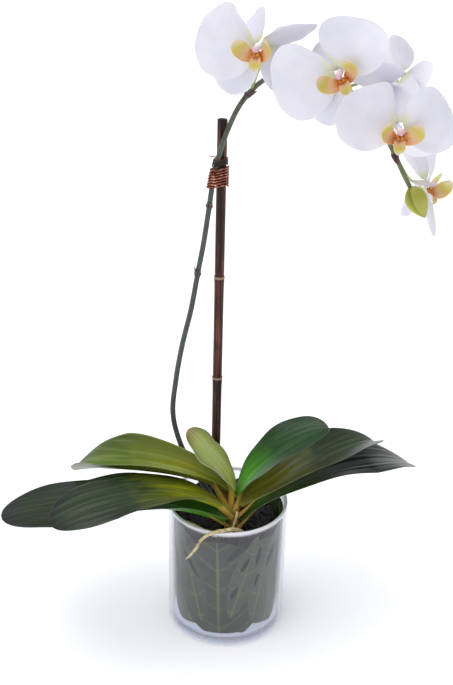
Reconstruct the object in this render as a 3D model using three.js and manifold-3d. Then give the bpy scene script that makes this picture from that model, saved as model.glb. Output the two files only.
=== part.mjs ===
// A moth orchid in a clear glass cylinder lined with broad leaves. Millimetres, +Z up, the origin at the
// middle of the glass's foot. The front of the plant, where most of its flowers look, is towards -Y.
import * as THREE from "three";
import { mergeVertices } from "three/addons/utils/BufferGeometryUtils.js";
import Module from "manifold-3d";

// ---- Driving dimensions ----------------------------------------------------------------------------

const GLASS = { radius: 60, height: 140, wall: 3, floor: 9, heel: 5, lip: 1.4, segments: 48 };
const FIT = 0.35; // the gap left between pieces that touch
const LINER = { outer: 56.4, step: 1.5, thick: 0.6, across: 6, along: 8 }; // step is from layer to layer
const LINER_OUTLINE = { base: 0.34, widest: 0.46, root: 0.7, end: 3, round: 0.7, tip: 0.12 };
const BARK = { radius: 51.4, bottom: 12, top: 117, heap: 8, lump: 2.2, segments: 26 };
const CROWN = { at: [5, -28], bottom: 106, top: 162, radius: 8.6 };
const STAKE = { at: [-13.5, 8.5], bottom: 40, top: 521, radius: 4.4, nodes: [158, 272.5, 376], swell: 0.6 };
const SPIKE = { rootRadius: 2.7, tipRadius: 2, sides: 8, steps: 54 };
const TIE = { z: 471, turns: 7, pitch: 2.5, wire: 0.9, clear: 0.6, sides: 5, stepsPerTurn: 14 };

// The flower spike's line, from the crown, up beside the stake and over in an arch.
const SPIKE_LINE = [
  [-4, -13, 134], [-19, -6, 150], [-37, 3, 174], [-50, 8, 202], [-56, 8, 232], [-53, 6, 270], [-47, 5, 308],
  [-39, 3, 345], [-33, 2, 382], [-28, 1, 412], [-24, 0, 442], [-19, 0, 478], [-9, 2, 513], [4, 8, 538],
  [22, 11, 555], [46, 11, 562], [72, 9, 558], [97, 3, 545], [117, -5, 524], [131, -8, 502], [142, -7, 482],
  [149, -6, 470],
];

// Leaves grow in two ranks. Angles are in degrees: heading 0 is +X, lift and droop are the midrib's slope
// where it starts and where it ends, and fold is how far each half is raised from flat.
const LEAVES = {
  leaf_right_low: {
    at: [14, -26, 136], length: 222, width: 70, heading: 25, sweep: 10, lift: 34, droop: -34, bend: 1,
    roll: [5, -2], fold: [39, 8],
  },
  leaf_right_mid: {
    at: [15, -32.5, 154.5], length: 176, width: 66, heading: 23, sweep: 25, lift: 20, droop: -23, bend: 1.9,
    roll: [-4, -6], fold: [38, 22],
  },
  leaf_right_top: {
    at: [10, -24, 161], length: 115, width: 64, heading: -2, sweep: 9, lift: 63, droop: 17, bend: 1.1,
    roll: [5, 0], fold: [20, 17],
  },
  leaf_young: {
    at: [3, -26, 165], length: 77, width: 40, heading: 170, sweep: -10, lift: 71, droop: 41, bend: 0.7,
    roll: [2, -6], fold: [42, 6],
  },
  leaf_left_top: {
    at: [-5, -17.5, 160.5], length: 200, width: 70, heading: 180, sweep: -55, lift: 53, droop: -35, bend: 0.4,
    roll: [-12, -11], fold: [58, 42], widest: 0.54, end: 1.3, round: 0.85,
  },
  leaf_left_mid: {
    at: [-3, -38, 151], length: 179, width: 69, heading: 190, sweep: 1, lift: 39, droop: -32, bend: 0.9,
    roll: [20, -14], fold: [30, -3],
  },
  leaf_left_low: {
    at: [-6, -38, 139], length: 220, width: 82, heading: 166, sweep: 26, lift: 14, droop: -14, bend: 0.9,
    roll: [4, -1], fold: [48, -2],
  },
};
const LEAF = { thick: 2.0, across: 4, along: 12, base: 0.3, widest: 0.6, round: 0.52, crease: 1.3 };

// Broad leaves that line the glass. bearing is round the glass from the front, anticlockwise from above, and
// tilt leans the midrib. layer 0 lies against the glass.
const LINERS = [
  { bearing: -8, tilt: 2, length: 112, width: 88, foot: 15, layer: 0 },
  { bearing: 27, tilt: -17, length: 112, width: 50, foot: 13, layer: 1 },
  { bearing: 60, tilt: -14, length: 110, width: 60, foot: 14, layer: 2 },
  { bearing: 100, tilt: -8, length: 116, width: 76, foot: 15, layer: 0 },
  { bearing: 150, tilt: 8, length: 123, width: 84, foot: 14, layer: 1 },
  { bearing: 203, tilt: -6, length: 113, width: 80, foot: 15, layer: 0 },
  { bearing: 252, tilt: 12, length: 112, width: 84, foot: 14, layer: 1 },
  { bearing: 305, tilt: 14, length: 114, width: 74, foot: 14, layer: 2 },
];

// The five white parts of a flower. heading is round the flower's face from its right-hand side, lift and
// droop are its slope forwards from that face, and back is how far behind the petals it starts.
const PETAL = {
  length: 52, width: 64, start: 3.8, back: 0, lift: 8, droop: -16, bend: 1, roll: 0, fold: [8, 8], thick: 1,
  across: 4, along: 6, base: 0.1, widest: 0.56, root: 0.62, crease: 2,
};
const SEPAL = {
  length: 48, width: 33, start: 3.8, back: 4, lift: 0, droop: -12, bend: 1, roll: 0, fold: [8, 8], thick: 1,
  across: 4, along: 5, base: 0.26, widest: 0.54, root: 0.8, crease: 2,
};
const FLOWER_PARTS = {
  petal_left: { ...PETAL, heading: 157, sweep: 6 },
  petal_right: { ...PETAL, heading: 23, sweep: -6 },
  sepal_top: { ...SEPAL, heading: 90, sweep: 0 },
  sepal_left: { ...SEPAL, heading: 217, sweep: 8 },
  sepal_right: { ...SEPAL, heading: 323, sweep: -8 },
};
const COLUMN = { radius: 2.7, length: 10, stalk: 1.3, behind: 14, sides: 7, steps: 11 };

// at is the middle of the flower. faces is [azimuth, elevation] of where it looks, azimuth 0 towards the
// front and positive to the right. spin turns it anticlockwise as seen from in front. stem is how far along
// the spike its stalk starts. The rest is how its parts differ from the usual ones.
const FLOWERS = {
  flower_1: {
    at: [15, -17, 586], faces: [-25, -4], spin: 5, stem: 0.7,
    petal_left: { length: 51, width: 68, heading: 178, sweep: -36, lift: -2, droop: 4, roll: -8 },
    petal_right: { length: 46, width: 46, heading: 34, sweep: -36, lift: -22, droop: -18, roll: 66 },
    sepal_top: { length: 31, heading: 122, lift: -30, droop: -60, roll: -10 },
    sepal_left: { length: 54, width: 36, heading: 216, sweep: 14, lift: -5, droop: -10, roll: -2 },
    sepal_right: { width: 38, heading: 306, sweep: 0, lift: -16, droop: -36, roll: -20 },
  },
  flower_2: {
    at: [78, -44, 572], faces: [-12, -4], spin: 38, stem: 0.79,
    petal_left: { length: 54, width: 68, heading: 160, sweep: -14, lift: -4, droop: -12, roll: -12 },
    petal_right: { length: 43, width: 58, heading: 29, sweep: 6, lift: 26, droop: -44, roll: -10 },
    sepal_top: { length: 35, heading: 94, lift: -40, droop: -60 },
    sepal_left: { heading: 212, lift: -8, droop: -26, roll: 15 },
    sepal_right: { lift: -14, droop: -26, roll: 36 },
  },
  flower_3: {
    at: [126, -60, 533], faces: [4, -4], spin: -3, stem: 0.885,
    petal_left: { length: 47, width: 58, heading: 170, sweep: -42, lift: 6, droop: -14, roll: 18 },
    petal_right: { length: 42, width: 54, heading: 22, sweep: 10, lift: 34, droop: -44, roll: -6 },
    sepal_top: { length: 39, lift: -36, droop: -72 },
    sepal_left: { length: 42, lift: -24, droop: -44, roll: -40 },
    sepal_right: { length: 46, heading: 330, lift: -14, droop: -30, roll: 30 },
  },
  flower_4: {
    at: [170, 24, 464], faces: [98, -10], spin: 0, stem: 0.955,
    petal_left: { length: 46, width: 40, heading: 112, sweep: -6, lift: -8, droop: -50, roll: -20 },
    petal_right: { length: 44, width: 50, heading: 2, lift: 8, droop: 30, roll: -26 },
    sepal_top: { length: 42, heading: 66, lift: -30, droop: -50, roll: 10 },
    sepal_left: { length: 46, width: 26, heading: 234, lift: 10, droop: 24, roll: 10 },
    sepal_right: { length: 44, width: 26, heading: 310, lift: -6, droop: 0 },
  },
  flower_5: {
    at: [142, 42, 556], faces: [125, -5], spin: 0, stem: 0.835,
    petal_left: { length: 30, width: 36, heading: 184, lift: 0, droop: -16, roll: -14 },
    petal_right: { length: 36, width: 40, heading: 20, lift: 12, droop: 0, roll: 14 },
    sepal_top: { length: 32, heading: 94, lift: -20, droop: -30 },
    sepal_left: { length: 40, heading: 226, lift: -10, droop: -20 },
    sepal_right: { length: 40, heading: 324, lift: -10, droop: -20 },
  },
};

// ---- Shapes ----------------------------------------------------------------------------------------

const wasm = await Module();
wasm.setup();

const rad = THREE.MathUtils.degToRad;
const mix = THREE.MathUtils.lerp;
const vec = (p) => new THREE.Vector3(...p);
const lineThrough = (points) => new THREE.CatmullRomCurve3(points.map(vec), false, "centripetal");

// The share of its full width that a blade has at the share t of its length.
function outline(t, { base, widest, root = 1, end = 2.2, round = 0.62, tip = 0.03 }) {
  if (t < widest) return base + (1 - base) * Math.sin((t / widest) * Math.PI / 2) ** root;
  const past = Math.min((t - widest) / (1 - widest), 1);
  return tip + (1 - tip) * (1 - past ** end) ** round;
}

// A midrib that starts at a point and turns from its first slope to its last, as points and frames.
function midrib({ at, length, heading, sweep = 0, lift, droop, bend, roll = [0, 0] }, steps) {
  const direction = (t) => {
    const turn = rad(heading + sweep * t);
    const slope = rad(mix(lift, droop, t ** bend));
    const forward = [Math.cos(slope) * Math.cos(turn), Math.cos(slope) * Math.sin(turn), Math.sin(slope)];
    return { forward: vec(forward), side: vec([-Math.sin(turn), Math.cos(turn), 0]) };
  };
  const stations = [];
  const point = vec(at);
  for (let i = 0; i <= steps; i++) {
    const t = i / steps;
    const { forward, side } = direction(t);
    const up = forward.clone().cross(side);
    side.applyAxisAngle(forward, rad(mix(...roll, t)));
    up.applyAxisAngle(forward, rad(mix(...roll, t)));
    stations.push({ t, point: point.clone(), side, up });
    point.addScaledVector(direction(t + 0.5 / steps).forward, length / steps);
  }
  return stations;
}

// The point of a blade's middle surface at station i and share s across, -1 at one edge and 1 at the other.
function bladePoint(stations, blade, i, s) {
  const { t, point, side, up } = stations[i];
  const half = (blade.width / 2) * outline(t, blade);
  const fold = rad(mix(...blade.fold, Math.min(t * 1.6, 1)));
  return point
    .clone()
    .addScaledVector(side, half * s * Math.cos(fold))
    .addScaledVector(up, half * Math.abs(s) ** blade.crease * Math.sin(fold));
}

// A grid of points, made solid: the surface is thickened along its normals, less towards its edges.
function sheetSolid(grid, across, along, thick) {
  const box = new THREE.BoxGeometry(2, 1, 1, across, 1, along);
  const place = box.getAttribute("position");
  for (let k = 0; k < place.count; k++) {
    const column = Math.round(((place.getX(k) + 1) / 2) * across);
    const row = Math.round((place.getZ(k) + 0.5) * along);
    const lengthwise = grid(Math.min(column, across), Math.min(row + 1, along))
      .sub(grid(column, Math.max(row - 1, 0)));
    const sideways = grid(Math.min(column + 1, across), row).sub(grid(Math.max(column - 1, 0), row));
    const normal = lengthwise.cross(sideways).normalize();
    const edge = Math.max(Math.abs((2 * column) / across - 1), Math.abs((2 * row) / along - 1));
    const p = grid(column, row).addScaledVector(normal, place.getY(k) * thick * (1 - 0.35 * edge ** 4));
    place.setXYZ(k, p.x, p.y, p.z);
  }
  return box;
}

function bladeSolid(blade) {
  const stations = midrib(blade, blade.along);
  const grid = (column, row) => bladePoint(stations, blade, row, (2 * column) / blade.across - 1);
  return sheetSolid(grid, blade.across, blade.along, blade.thick);
}

// A round tube along a curve, its radius a function of the share of the length, with closed ends.
function tubeSolid(curve, radiusAt, sides, steps) {
  const tube = new THREE.CylinderGeometry(1, 1, 1, sides, steps);
  const frames = curve.computeFrenetFrames(steps);
  const place = tube.getAttribute("position");
  for (let k = 0; k < place.count; k++) {
    const row = Math.round((place.getY(k) + 0.5) * steps);
    const radius = radiusAt(row / steps);
    const p = curve
      .getPointAt(row / steps)
      .addScaledVector(frames.normals[row], place.getX(k) * radius)
      .addScaledVector(frames.binormals[row], -place.getZ(k) * radius);
    place.setXYZ(k, p.x, p.y, p.z);
  }
  return tube;
}

// A shape turned about +Z from a profile of [radius, height] pairs.
function turned(profile, segments) {
  const points = profile.map(([r, z]) => new THREE.Vector2(r, z));
  return new THREE.LatheGeometry(points, segments).rotateX(Math.PI / 2);
}

// ---- Joining and cutting ---------------------------------------------------------------------------

function toManifold(geometry) {
  const bare = new THREE.BufferGeometry().setAttribute("position", geometry.getAttribute("position"));
  if (geometry.index) bare.setIndex(geometry.index);
  const merged = mergeVertices(bare, 1e-3);
  const vertProperties = merged.getAttribute("position").array;
  return new wasm.Manifold(new wasm.Mesh({ numProp: 3, vertProperties, triVerts: merged.index.array }));
}

function toGeometry(manifold) {
  const mesh = manifold.getMesh();
  return new THREE.BufferGeometry()
    .setAttribute("position", new THREE.BufferAttribute(mesh.vertProperties, 3))
    .setIndex(new THREE.BufferAttribute(mesh.triVerts, 1));
}

const joined = (geometries) => toGeometry(geometries.map(toManifold).reduce((a, b) => a.add(b)));
const cutFrom = (geometry, cutters) =>
  toGeometry(cutters.map(toManifold).reduce((a, b) => a.subtract(b), toManifold(geometry)));

// ---- Materials -------------------------------------------------------------------------------------

const finish = (color, roughness, more = {}) =>
  new THREE.MeshStandardMaterial({ color, roughness, metalness: 0, ...more });
const LOOKS = {
  glass: finish(0xe8eef2, 0.03, { transparent: true, opacity: 0.25 }),
  liner: finish(0x4d5e48, 0.5),
  bark: finish(0x1f1814, 0.95),
  crown: finish(0xa8973c, 0.55),
  leaf: finish(0x35521f, 0.38),
  leafYoung: finish(0x93a345, 0.42),
  root: finish(0xc4b98a, 0.7),
  spike: finish(0x545c55, 0.5),
  stake: finish(0x4a2c1e, 0.35),
  tie: finish(0xa8593a, 0.35, { metalness: 0.9 }),
  petal: finish(0xf4f3f8, 0.5),
  lip: finish(0xd8c755, 0.45),
  column: finish(0xece6df, 0.4),
  bud: finish(0xa9b845, 0.45),
};

const orchid = new THREE.Group();

function addPiece(name, geometry, look, parent = orchid) {
  const mesh = new THREE.Mesh(geometry, look);
  mesh.name = name;
  parent.add(mesh);
  return mesh;
}

// ---- The pot and what fills it ---------------------------------------------------------------------

function glassCylinder() {
  const { radius, height, wall, floor, heel, lip } = GLASS;
  const inner = radius - wall;
  const profile = [
    [0, 0], [radius - 3, 0], [radius - 0.8, 1], [radius, 3.4], [radius, height - lip], [radius - lip, height],
    [inner + lip, height], [inner, height - lip], [inner, floor + heel],
    [inner - heel * 0.3, floor + heel * 0.3], [inner - heel, floor], [0, floor],
  ];
  return turned(profile, GLASS.segments);
}

// A broad leaf wrapped against the inside of the glass, foot down.
function linerLeaf({ bearing, tilt, length, width, foot, layer }) {
  const { across, along } = LINER;
  const radius = LINER.outer - LINER.thick / 2 - layer * LINER.step;
  const grid = (column, row) => {
    const t = row / along;
    const s = (2 * column) / across - 1;
    const half = (width / 2) * outline(t, LINER_OUTLINE);
    const around = Math.cos(rad(tilt)) * half * s - Math.sin(rad(tilt)) * (t - 0.5) * length;
    const z = foot + length * (0.5 + (t - 0.5) * Math.cos(rad(tilt))) + Math.sin(rad(tilt)) * half * s;
    const angle = rad(bearing) + around / radius;
    return new THREE.Vector3(radius * Math.sin(angle), -radius * Math.cos(angle), z);
  };
  return sheetSolid(grid, across, along, LINER.thick);
}

// Packed bark, heaped round the crown and rough on top, with the holes that the crown and the stake fill.
function barkBed() {
  const { radius, bottom, top, heap, lump, segments } = BARK;
  const crust = 7;
  const rings = Array.from({ length: crust }, (_, i) => radius * 0.96 * (1 - i / (crust - 1)));
  const profile = [[0, bottom], [radius * 0.93, bottom], [radius, bottom + 6], [radius, top - 4]];
  rings.forEach((r) => profile.push([r, top]));
  const bed = turned(profile, segments);
  const place = bed.getAttribute("position");
  for (let k = 0; k < place.count; k++) {
    const [x, y, z] = [place.getX(k), place.getY(k), place.getZ(k)];
    if (z < top - 1) continue;
    const nearCrown = Math.hypot(x - CROWN.at[0], y - CROWN.at[1]) / radius;
    const rough = lump * (Math.sin(x * 0.41 + 1.7 * Math.cos(y * 0.33)) + Math.cos(y * 0.47 - x * 0.19));
    place.setZ(k, z + heap * Math.max(0, 1 - nearCrown) + rough * Math.min(1, Math.hypot(x, y) / 12));
  }
  const hole = (at, radiusOf, from, to) =>
    new THREE.CylinderGeometry(radiusOf, radiusOf, to - from, 12)
      .rotateX(Math.PI / 2)
      .translate(at[0], at[1], (from + to) / 2);
  const { at, bottom: foot, top: head, radius: stem } = CROWN;
  return cutFrom(bed, [
    hole(at, stem + 0.8, foot - FIT, head),
    hole(STAKE.at, STAKE.radius + 0.8, STAKE.bottom - FIT, STAKE.top),
  ]);
}

function crown() {
  const { at, bottom, top, radius } = CROWN;
  const height = top - bottom;
  const profile = [
    [0, bottom], [radius * 0.7, bottom], [radius * 0.95, bottom + height * 0.2],
    [radius * 0.95, bottom + height * 0.42], [radius * 0.82, bottom + height * 0.6],
    [radius * 0.62, bottom + height * 0.78], [radius * 0.3, top], [0, top],
  ];
  return turned(profile, 12).translate(at[0], at[1], 0);
}

// ---- Stake, spike and ties -------------------------------------------------------------------------

// A bamboo cane: slim between its nodes, with a ring at each.
function bambooStake() {
  const { bottom, top, radius, nodes, swell } = STAKE;
  const profile = [[0, bottom], [radius * 0.8, bottom]];
  for (const z of nodes) {
    profile.push([radius, z - 9], [radius + swell * 0.6, z - 1.8], [radius + swell, z], [radius, z + 2.6]);
  }
  profile.push([radius * 0.97, top], [0, top]);
  return turned(profile, 12).translate(...STAKE.at, 0);
}

const spikeLine = lineThrough(SPIKE_LINE);
const spikeRadius = (t) => mix(SPIKE.rootRadius, SPIKE.tipRadius, t);

// The height z on the rising part of the spike, as a point.
function spikeAtHeight(z) {
  let best = spikeLine.getPointAt(0);
  for (let i = 0; i <= 300; i++) {
    const p = spikeLine.getPointAt((0.65 * i) / 300);
    if (Math.abs(p.z - z) < Math.abs(best.z - z)) best = p;
  }
  return best;
}

// The binding: one wire wound round the stake and the spike together, each turn on the last.
function wireBinding() {
  const { z, turns, pitch, wire, clear, sides, stepsPerTurn } = TIE;
  const steps = turns * stepsPerTurn;
  const points = [];
  for (let i = 0; i <= steps; i++) {
    const height = z + pitch * (i / stepsPerTurn - turns / 2);
    const spike = spikeAtHeight(height);
    const held = [
      { centre: new THREE.Vector2(...STAKE.at), radius: STAKE.radius },
      { centre: new THREE.Vector2(spike.x, spike.y), radius: SPIKE.rootRadius },
    ];
    const angle = (2 * Math.PI * i) / stepsPerTurn;
    const out = new THREE.Vector2(Math.cos(angle), Math.sin(angle));
    const reach = (thing) => thing.centre.dot(out) + thing.radius;
    const outer = reach(held[0]) > reach(held[1]) ? held[0] : held[1];
    const p = outer.centre.clone().addScaledVector(out, outer.radius + clear + wire);
    points.push([p.x, p.y, height]);
  }
  return tubeSolid(lineThrough(points), () => wire, sides, steps);
}

// ---- Roots -----------------------------------------------------------------------------------------

const ROOTS = {
  // Out of the crown, over the front of the rim and down outside the glass.
  root_over_rim: {
    line: [
      [14, -44, 131], [6, -52, 139.5], [-4, -58.5, 142.6], [-16, -61.5, 141], [-25, -62.6, 134],
      [-30, -63, 124], [-36, -62.6, 115], [-40, -62.8, 111],
    ],
    radius: [2, 1.2], steps: 22,
  },
  // Out of the side of the crown and straight down into the bark.
  root_aerial: {
    line: [[9, -37.5, 150], [7, -40, 141], [4, -42, 131], [3, -42.5, 127]],
    radius: [1.3, 1], steps: 8,
  },
  // Along the top of the bark, inside the glass.
  root_left: {
    line: [[-10, -46, 127], [-20, -44, 130], [-33, -37, 133], [-45, -27, 131]],
    radius: [1.6, 1.1], steps: 12,
  },
};

const rootSolid = ({ line, radius, steps }) =>
  tubeSolid(lineThrough(line), (t) => mix(...radius, t), 7, steps);

// ---- Flowers ---------------------------------------------------------------------------------------

// A group whose +Z looks out of the flower's face and whose +Y is towards its top sepal.
function flowerFrame({ at, faces, spin }) {
  const [azimuth, elevation] = faces.map(rad);
  const out = vec([
    Math.sin(azimuth) * Math.cos(elevation), -Math.cos(azimuth) * Math.cos(elevation), Math.sin(elevation),
  ]);
  const right = vec([Math.cos(azimuth), Math.sin(azimuth), 0]).applyAxisAngle(out, rad(spin));
  const frame = new THREE.Group();
  frame.quaternion.setFromRotationMatrix(new THREE.Matrix4().makeBasis(right, out.clone().cross(right), out));
  frame.position.set(...at);
  frame.updateMatrixWorld(true);
  return frame;
}

function flowerBlade(blade) {
  const along = rad(blade.heading);
  const at = [blade.start * Math.cos(along), blade.start * Math.sin(along), -blade.back];
  return bladeSolid({ ...blade, at, roll: [blade.roll, blade.roll] });
}

// The lip: a claw, two side lobes that curve up round the column as a cup, a short front lobe and the callus.
function lip() {
  const lobe = (side) => ({
    at: [side * 2, -6.4, 4.4], length: 25, width: 14, heading: side > 0 ? -4 : 184, sweep: side * 128,
    lift: 22, droop: 30, bend: 1, roll: [side * -20, side * -50], fold: [16, 10], thick: 1, across: 3,
    along: 6, base: 0.5, widest: 0.62, root: 0.8, crease: 2,
  });
  const front = {
    at: [0, -6.2, 4], length: 14, width: 11, heading: 270, sweep: 0, lift: 56, droop: 0, bend: 1,
    fold: [30, 24], thick: 1.1, across: 4, along: 4, base: 0.5, widest: 0.5, root: 1, round: 1, tip: 0.12,
    crease: 1.4,
  };
  const clawLine = lineThrough([[0, -5.2, 0.6], [0, -6, 3], [0, -6.4, 6.5]]);
  const claw = tubeSolid(clawLine, (t) => mix(1.6, 3, t), 6, 2);
  const callus = new THREE.SphereGeometry(1, 8, 5).scale(3, 1.9, 2.6).translate(0, -4.9, 7.4);
  const pieces = [claw, callus, bladeSolid(front), bladeSolid(lobe(1)), bladeSolid(lobe(-1))];
  return joined(pieces);
}

// The stalk from the spike to the back of the flower, and the column that stands out of its face.
function stalkAndColumn(frame, share) {
  const root = spikeLine.getPointAt(share);
  const away = frame.localToWorld(new THREE.Vector3(0, 0, -COLUMN.behind)).sub(root).normalize();
  const clear = spikeRadius(share) + FIT + 2 * COLUMN.stalk;
  const start = frame.worldToLocal(root.clone().addScaledVector(away, clear));
  const line = new THREE.CatmullRomCurve3(
    [start, vec([0, 0, -COLUMN.behind]), vec([0, 0, -4]), vec([0, 0, 3]), vec([0, -0.8, COLUMN.length])],
    false,
    "centripetal",
  );
  const reach = line.getLength();
  const radiusAt = (t) => {
    const toTip = (1 - t) * reach;
    if (toTip < COLUMN.length + 4) return COLUMN.radius * (toTip < 1.5 ? 0.78 : 1);
    return mix(COLUMN.radius, COLUMN.stalk, Math.min(1, (toTip - COLUMN.length - 4) / 12));
  };
  return tubeSolid(line, radiusAt, COLUMN.sides, COLUMN.steps);
}

function flower(name, spec) {
  const frame = flowerFrame(spec);
  for (const [part, usual] of Object.entries(FLOWER_PARTS)) {
    addPiece(`${name}_${part}`, flowerBlade({ ...usual, ...spec[part] }), LOOKS.petal, frame);
  }
  addPiece(`${name}_lip`, lip(), LOOKS.lip, frame);
  addPiece(`${name}_column`, stalkAndColumn(frame, spec.stem), LOOKS.column, frame);
  orchid.add(frame);
}

// The closed bud at the spike's tip.
function bud() {
  const profile = [
    [0, 0], [2.2, 0.6], [6.4, 4], [9.6, 10], [10.4, 16], [8.8, 23], [5.2, 29], [1.6, 32.4], [0, 33],
  ];
  const shell = turned(profile, 12).scale(1, 0.82, 1);
  const tip = vec(SPIKE_LINE.at(-1));
  const onward = spikeLine.getTangentAt(1);
  const point = tip.clone().addScaledVector(onward, FIT);
  return shell
    .applyQuaternion(new THREE.Quaternion().setFromUnitVectors(vec([0, 0, 1]), onward))
    .translate(point.x, point.y, point.z);
}

// ---- Assembly --------------------------------------------------------------------------------------

addPiece("glass_cylinder", glassCylinder(), LOOKS.glass);
LINERS.forEach((leaf, i) => addPiece(`liner_leaf_${i + 1}`, linerLeaf(leaf), LOOKS.liner));
addPiece("bark_bed", barkBed(), LOOKS.bark);
addPiece("crown", crown(), LOOKS.crown);
for (const [name, leaf] of Object.entries(LEAVES)) {
  addPiece(name, bladeSolid({ ...LEAF, ...leaf }), name === "leaf_young" ? LOOKS.leafYoung : LOOKS.leaf);
}
for (const [name, root] of Object.entries(ROOTS)) addPiece(name, rootSolid(root), LOOKS.root);
addPiece("bamboo_stake", bambooStake(), LOOKS.stake);
addPiece("flower_spike", tubeSolid(spikeLine, spikeRadius, SPIKE.sides, SPIKE.steps), LOOKS.spike);
addPiece("wire_binding", wireBinding(), LOOKS.tie);
for (const [name, spec] of Object.entries(FLOWERS)) flower(name, spec);
addPiece("bud", bud(), LOOKS.bud);

export default orchid;
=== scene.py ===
"""A moth orchid in a clear glass cylinder lined with leaves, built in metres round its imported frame."""

import math

import bpy
import numpy as np
from mathutils import Matrix, Vector


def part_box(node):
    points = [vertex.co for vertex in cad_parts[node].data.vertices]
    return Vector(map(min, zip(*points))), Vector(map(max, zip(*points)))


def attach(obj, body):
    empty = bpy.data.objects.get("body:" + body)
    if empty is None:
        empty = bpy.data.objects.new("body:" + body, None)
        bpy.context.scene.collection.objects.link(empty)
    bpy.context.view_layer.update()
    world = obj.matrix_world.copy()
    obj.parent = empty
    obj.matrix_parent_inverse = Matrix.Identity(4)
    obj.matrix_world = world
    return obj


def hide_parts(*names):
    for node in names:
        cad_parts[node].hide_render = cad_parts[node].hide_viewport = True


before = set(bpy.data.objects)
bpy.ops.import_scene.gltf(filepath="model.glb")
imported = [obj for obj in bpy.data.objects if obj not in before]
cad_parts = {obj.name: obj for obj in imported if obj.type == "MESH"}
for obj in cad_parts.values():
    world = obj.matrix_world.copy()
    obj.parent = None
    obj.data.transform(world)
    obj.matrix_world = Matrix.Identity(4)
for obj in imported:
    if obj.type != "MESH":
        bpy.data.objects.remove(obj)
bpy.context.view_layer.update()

bl_info = {
    "name": "Potted moth orchid",
    "version": (1, 0, 0),
    "blender": (4, 5, 0),
    "location": "View3D > Sidebar > Orchid",
    "description": "Builds a moth orchid in a leaf-lined glass, piece by piece",
    "category": "Add Mesh",
}

MM = 0.001
GOLDEN_TURN = math.pi * (3 - math.sqrt(5))

# ---- Sizes that the frame doesn't tell, in millimetres and degrees ------------------------------------

# The flower spike's line, from the crown, up beside the cane and over in an arch.
SPIKE_LINE = [
    (-4, -13, 134), (-19, -6, 150), (-37, 3, 174), (-50, 8, 202), (-56, 8, 232), (-53, 6, 270), (-47, 5, 308),
    (-39, 3, 345), (-33, 2, 382), (-28, 1, 412), (-24, 0, 442), (-19, 0, 478), (-9, 2, 513), (4, 8, 538),
    (22, 11, 555), (46, 11, 562), (72, 9, 558), (97, 3, 545), (117, -5, 524), (131, -8, 502), (142, -7, 482),
    (149, -6, 470),
]
SPIKE_RADIUS = (2.7, 2.0)
# Where the spike's nodes are, the way that each one's scale points, and the scale's length.
SPIKE_NODES = [
    ((-33, 4, 381), (-1, -0.4, 0), 9),
    ((-23, 3, 447), (-0.3, -1, 0), 5),
    ((7.5, 4, 543), (0.7, -0.6, -0.4), 9),
    ((119.5, -15, 520), (-0.5, -0.8, -0.2), 5),
    ((136, -5, 500), (-0.3, -1, 0.1), 10),
]

CANE_RADIUS = 4.4

# Leaves: where each starts, its blade, and how its colours differ. heading 0 is +X, lift and droop are its
# slope where it starts and ends, fold is how far each half is raised from flat.
LEAF = dict(base=0.3, widest=0.6, root=1, end=2.2, round=0.52, tip=0.03, crease=1.3)
LEAVES = {
    "leaf_right_low": dict(
        at=(14, -26, 136), length=222, width=70, heading=25, sweep=10, lift=34, droop=-34, bend=1,
        roll=(5, -2), fold=(39, 8),
    ),
    "leaf_right_mid": dict(
        at=(15, -32.5, 154.5), length=176, width=66, heading=23, sweep=25, lift=20, droop=-23, bend=1.9,
        roll=(-4, -6), fold=(38, 22),
    ),
    "leaf_right_top": dict(
        at=(10, -24, 161), length=115, width=64, heading=-2, sweep=9, lift=63, droop=17, bend=1.1,
        roll=(5, 0), fold=(20, 17),
    ),
    "leaf_young": dict(
        at=(3, -26, 165), length=77, width=40, heading=170, sweep=-10, lift=71, droop=41, bend=0.7,
        roll=(2, -6), fold=(42, 6),
    ),
    "leaf_left_top": dict(
        at=(-5, -17.5, 160.5), length=200, width=70, heading=180, sweep=-55, lift=53, droop=-35, bend=0.4,
        roll=(-12, -11), fold=(58, 42), widest=0.54, end=1.3, round=0.85,
    ),
    "leaf_left_mid": dict(
        at=(-3, -38, 151), length=179, width=69, heading=190, sweep=1, lift=39, droop=-32, bend=0.9,
        roll=(20, -14), fold=(30, -3),
    ),
    "leaf_left_low": dict(
        at=(-6, -38, 139), length=220, width=82, heading=166, sweep=26, lift=14, droop=-14, bend=0.9,
        roll=(4, -1), fold=(48, -2),
    ),
}

# Broad leaves round the inside of the glass: bearing from the front, anticlockwise from above, the lean of
# the midrib, the layer, 0 against the glass, and the tone, 0 for the darkest leaf and 1 for the palest.
LINERS = [
    dict(bearing=-8, tilt=2, length=112, width=88, foot=15, layer=0, tone=0.1),
    dict(bearing=27, tilt=-17, length=112, width=50, foot=13, layer=1, tone=0.6),
    dict(bearing=60, tilt=-14, length=110, width=60, foot=14, layer=2, tone=0.9),
    dict(bearing=100, tilt=-8, length=116, width=76, foot=15, layer=0, tone=0.3),
    dict(bearing=150, tilt=8, length=123, width=84, foot=14, layer=1, tone=0.5),
    dict(bearing=203, tilt=-6, length=113, width=80, foot=15, layer=0, tone=0.4),
    dict(bearing=252, tilt=12, length=112, width=84, foot=14, layer=1, tone=0.6),
    dict(bearing=305, tilt=14, length=114, width=74, foot=14, layer=2, tone=0.5),
]
LINER_OUTLINE = dict(base=0.34, widest=0.46, root=0.7, end=3, round=0.7, tip=0.12)
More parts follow.
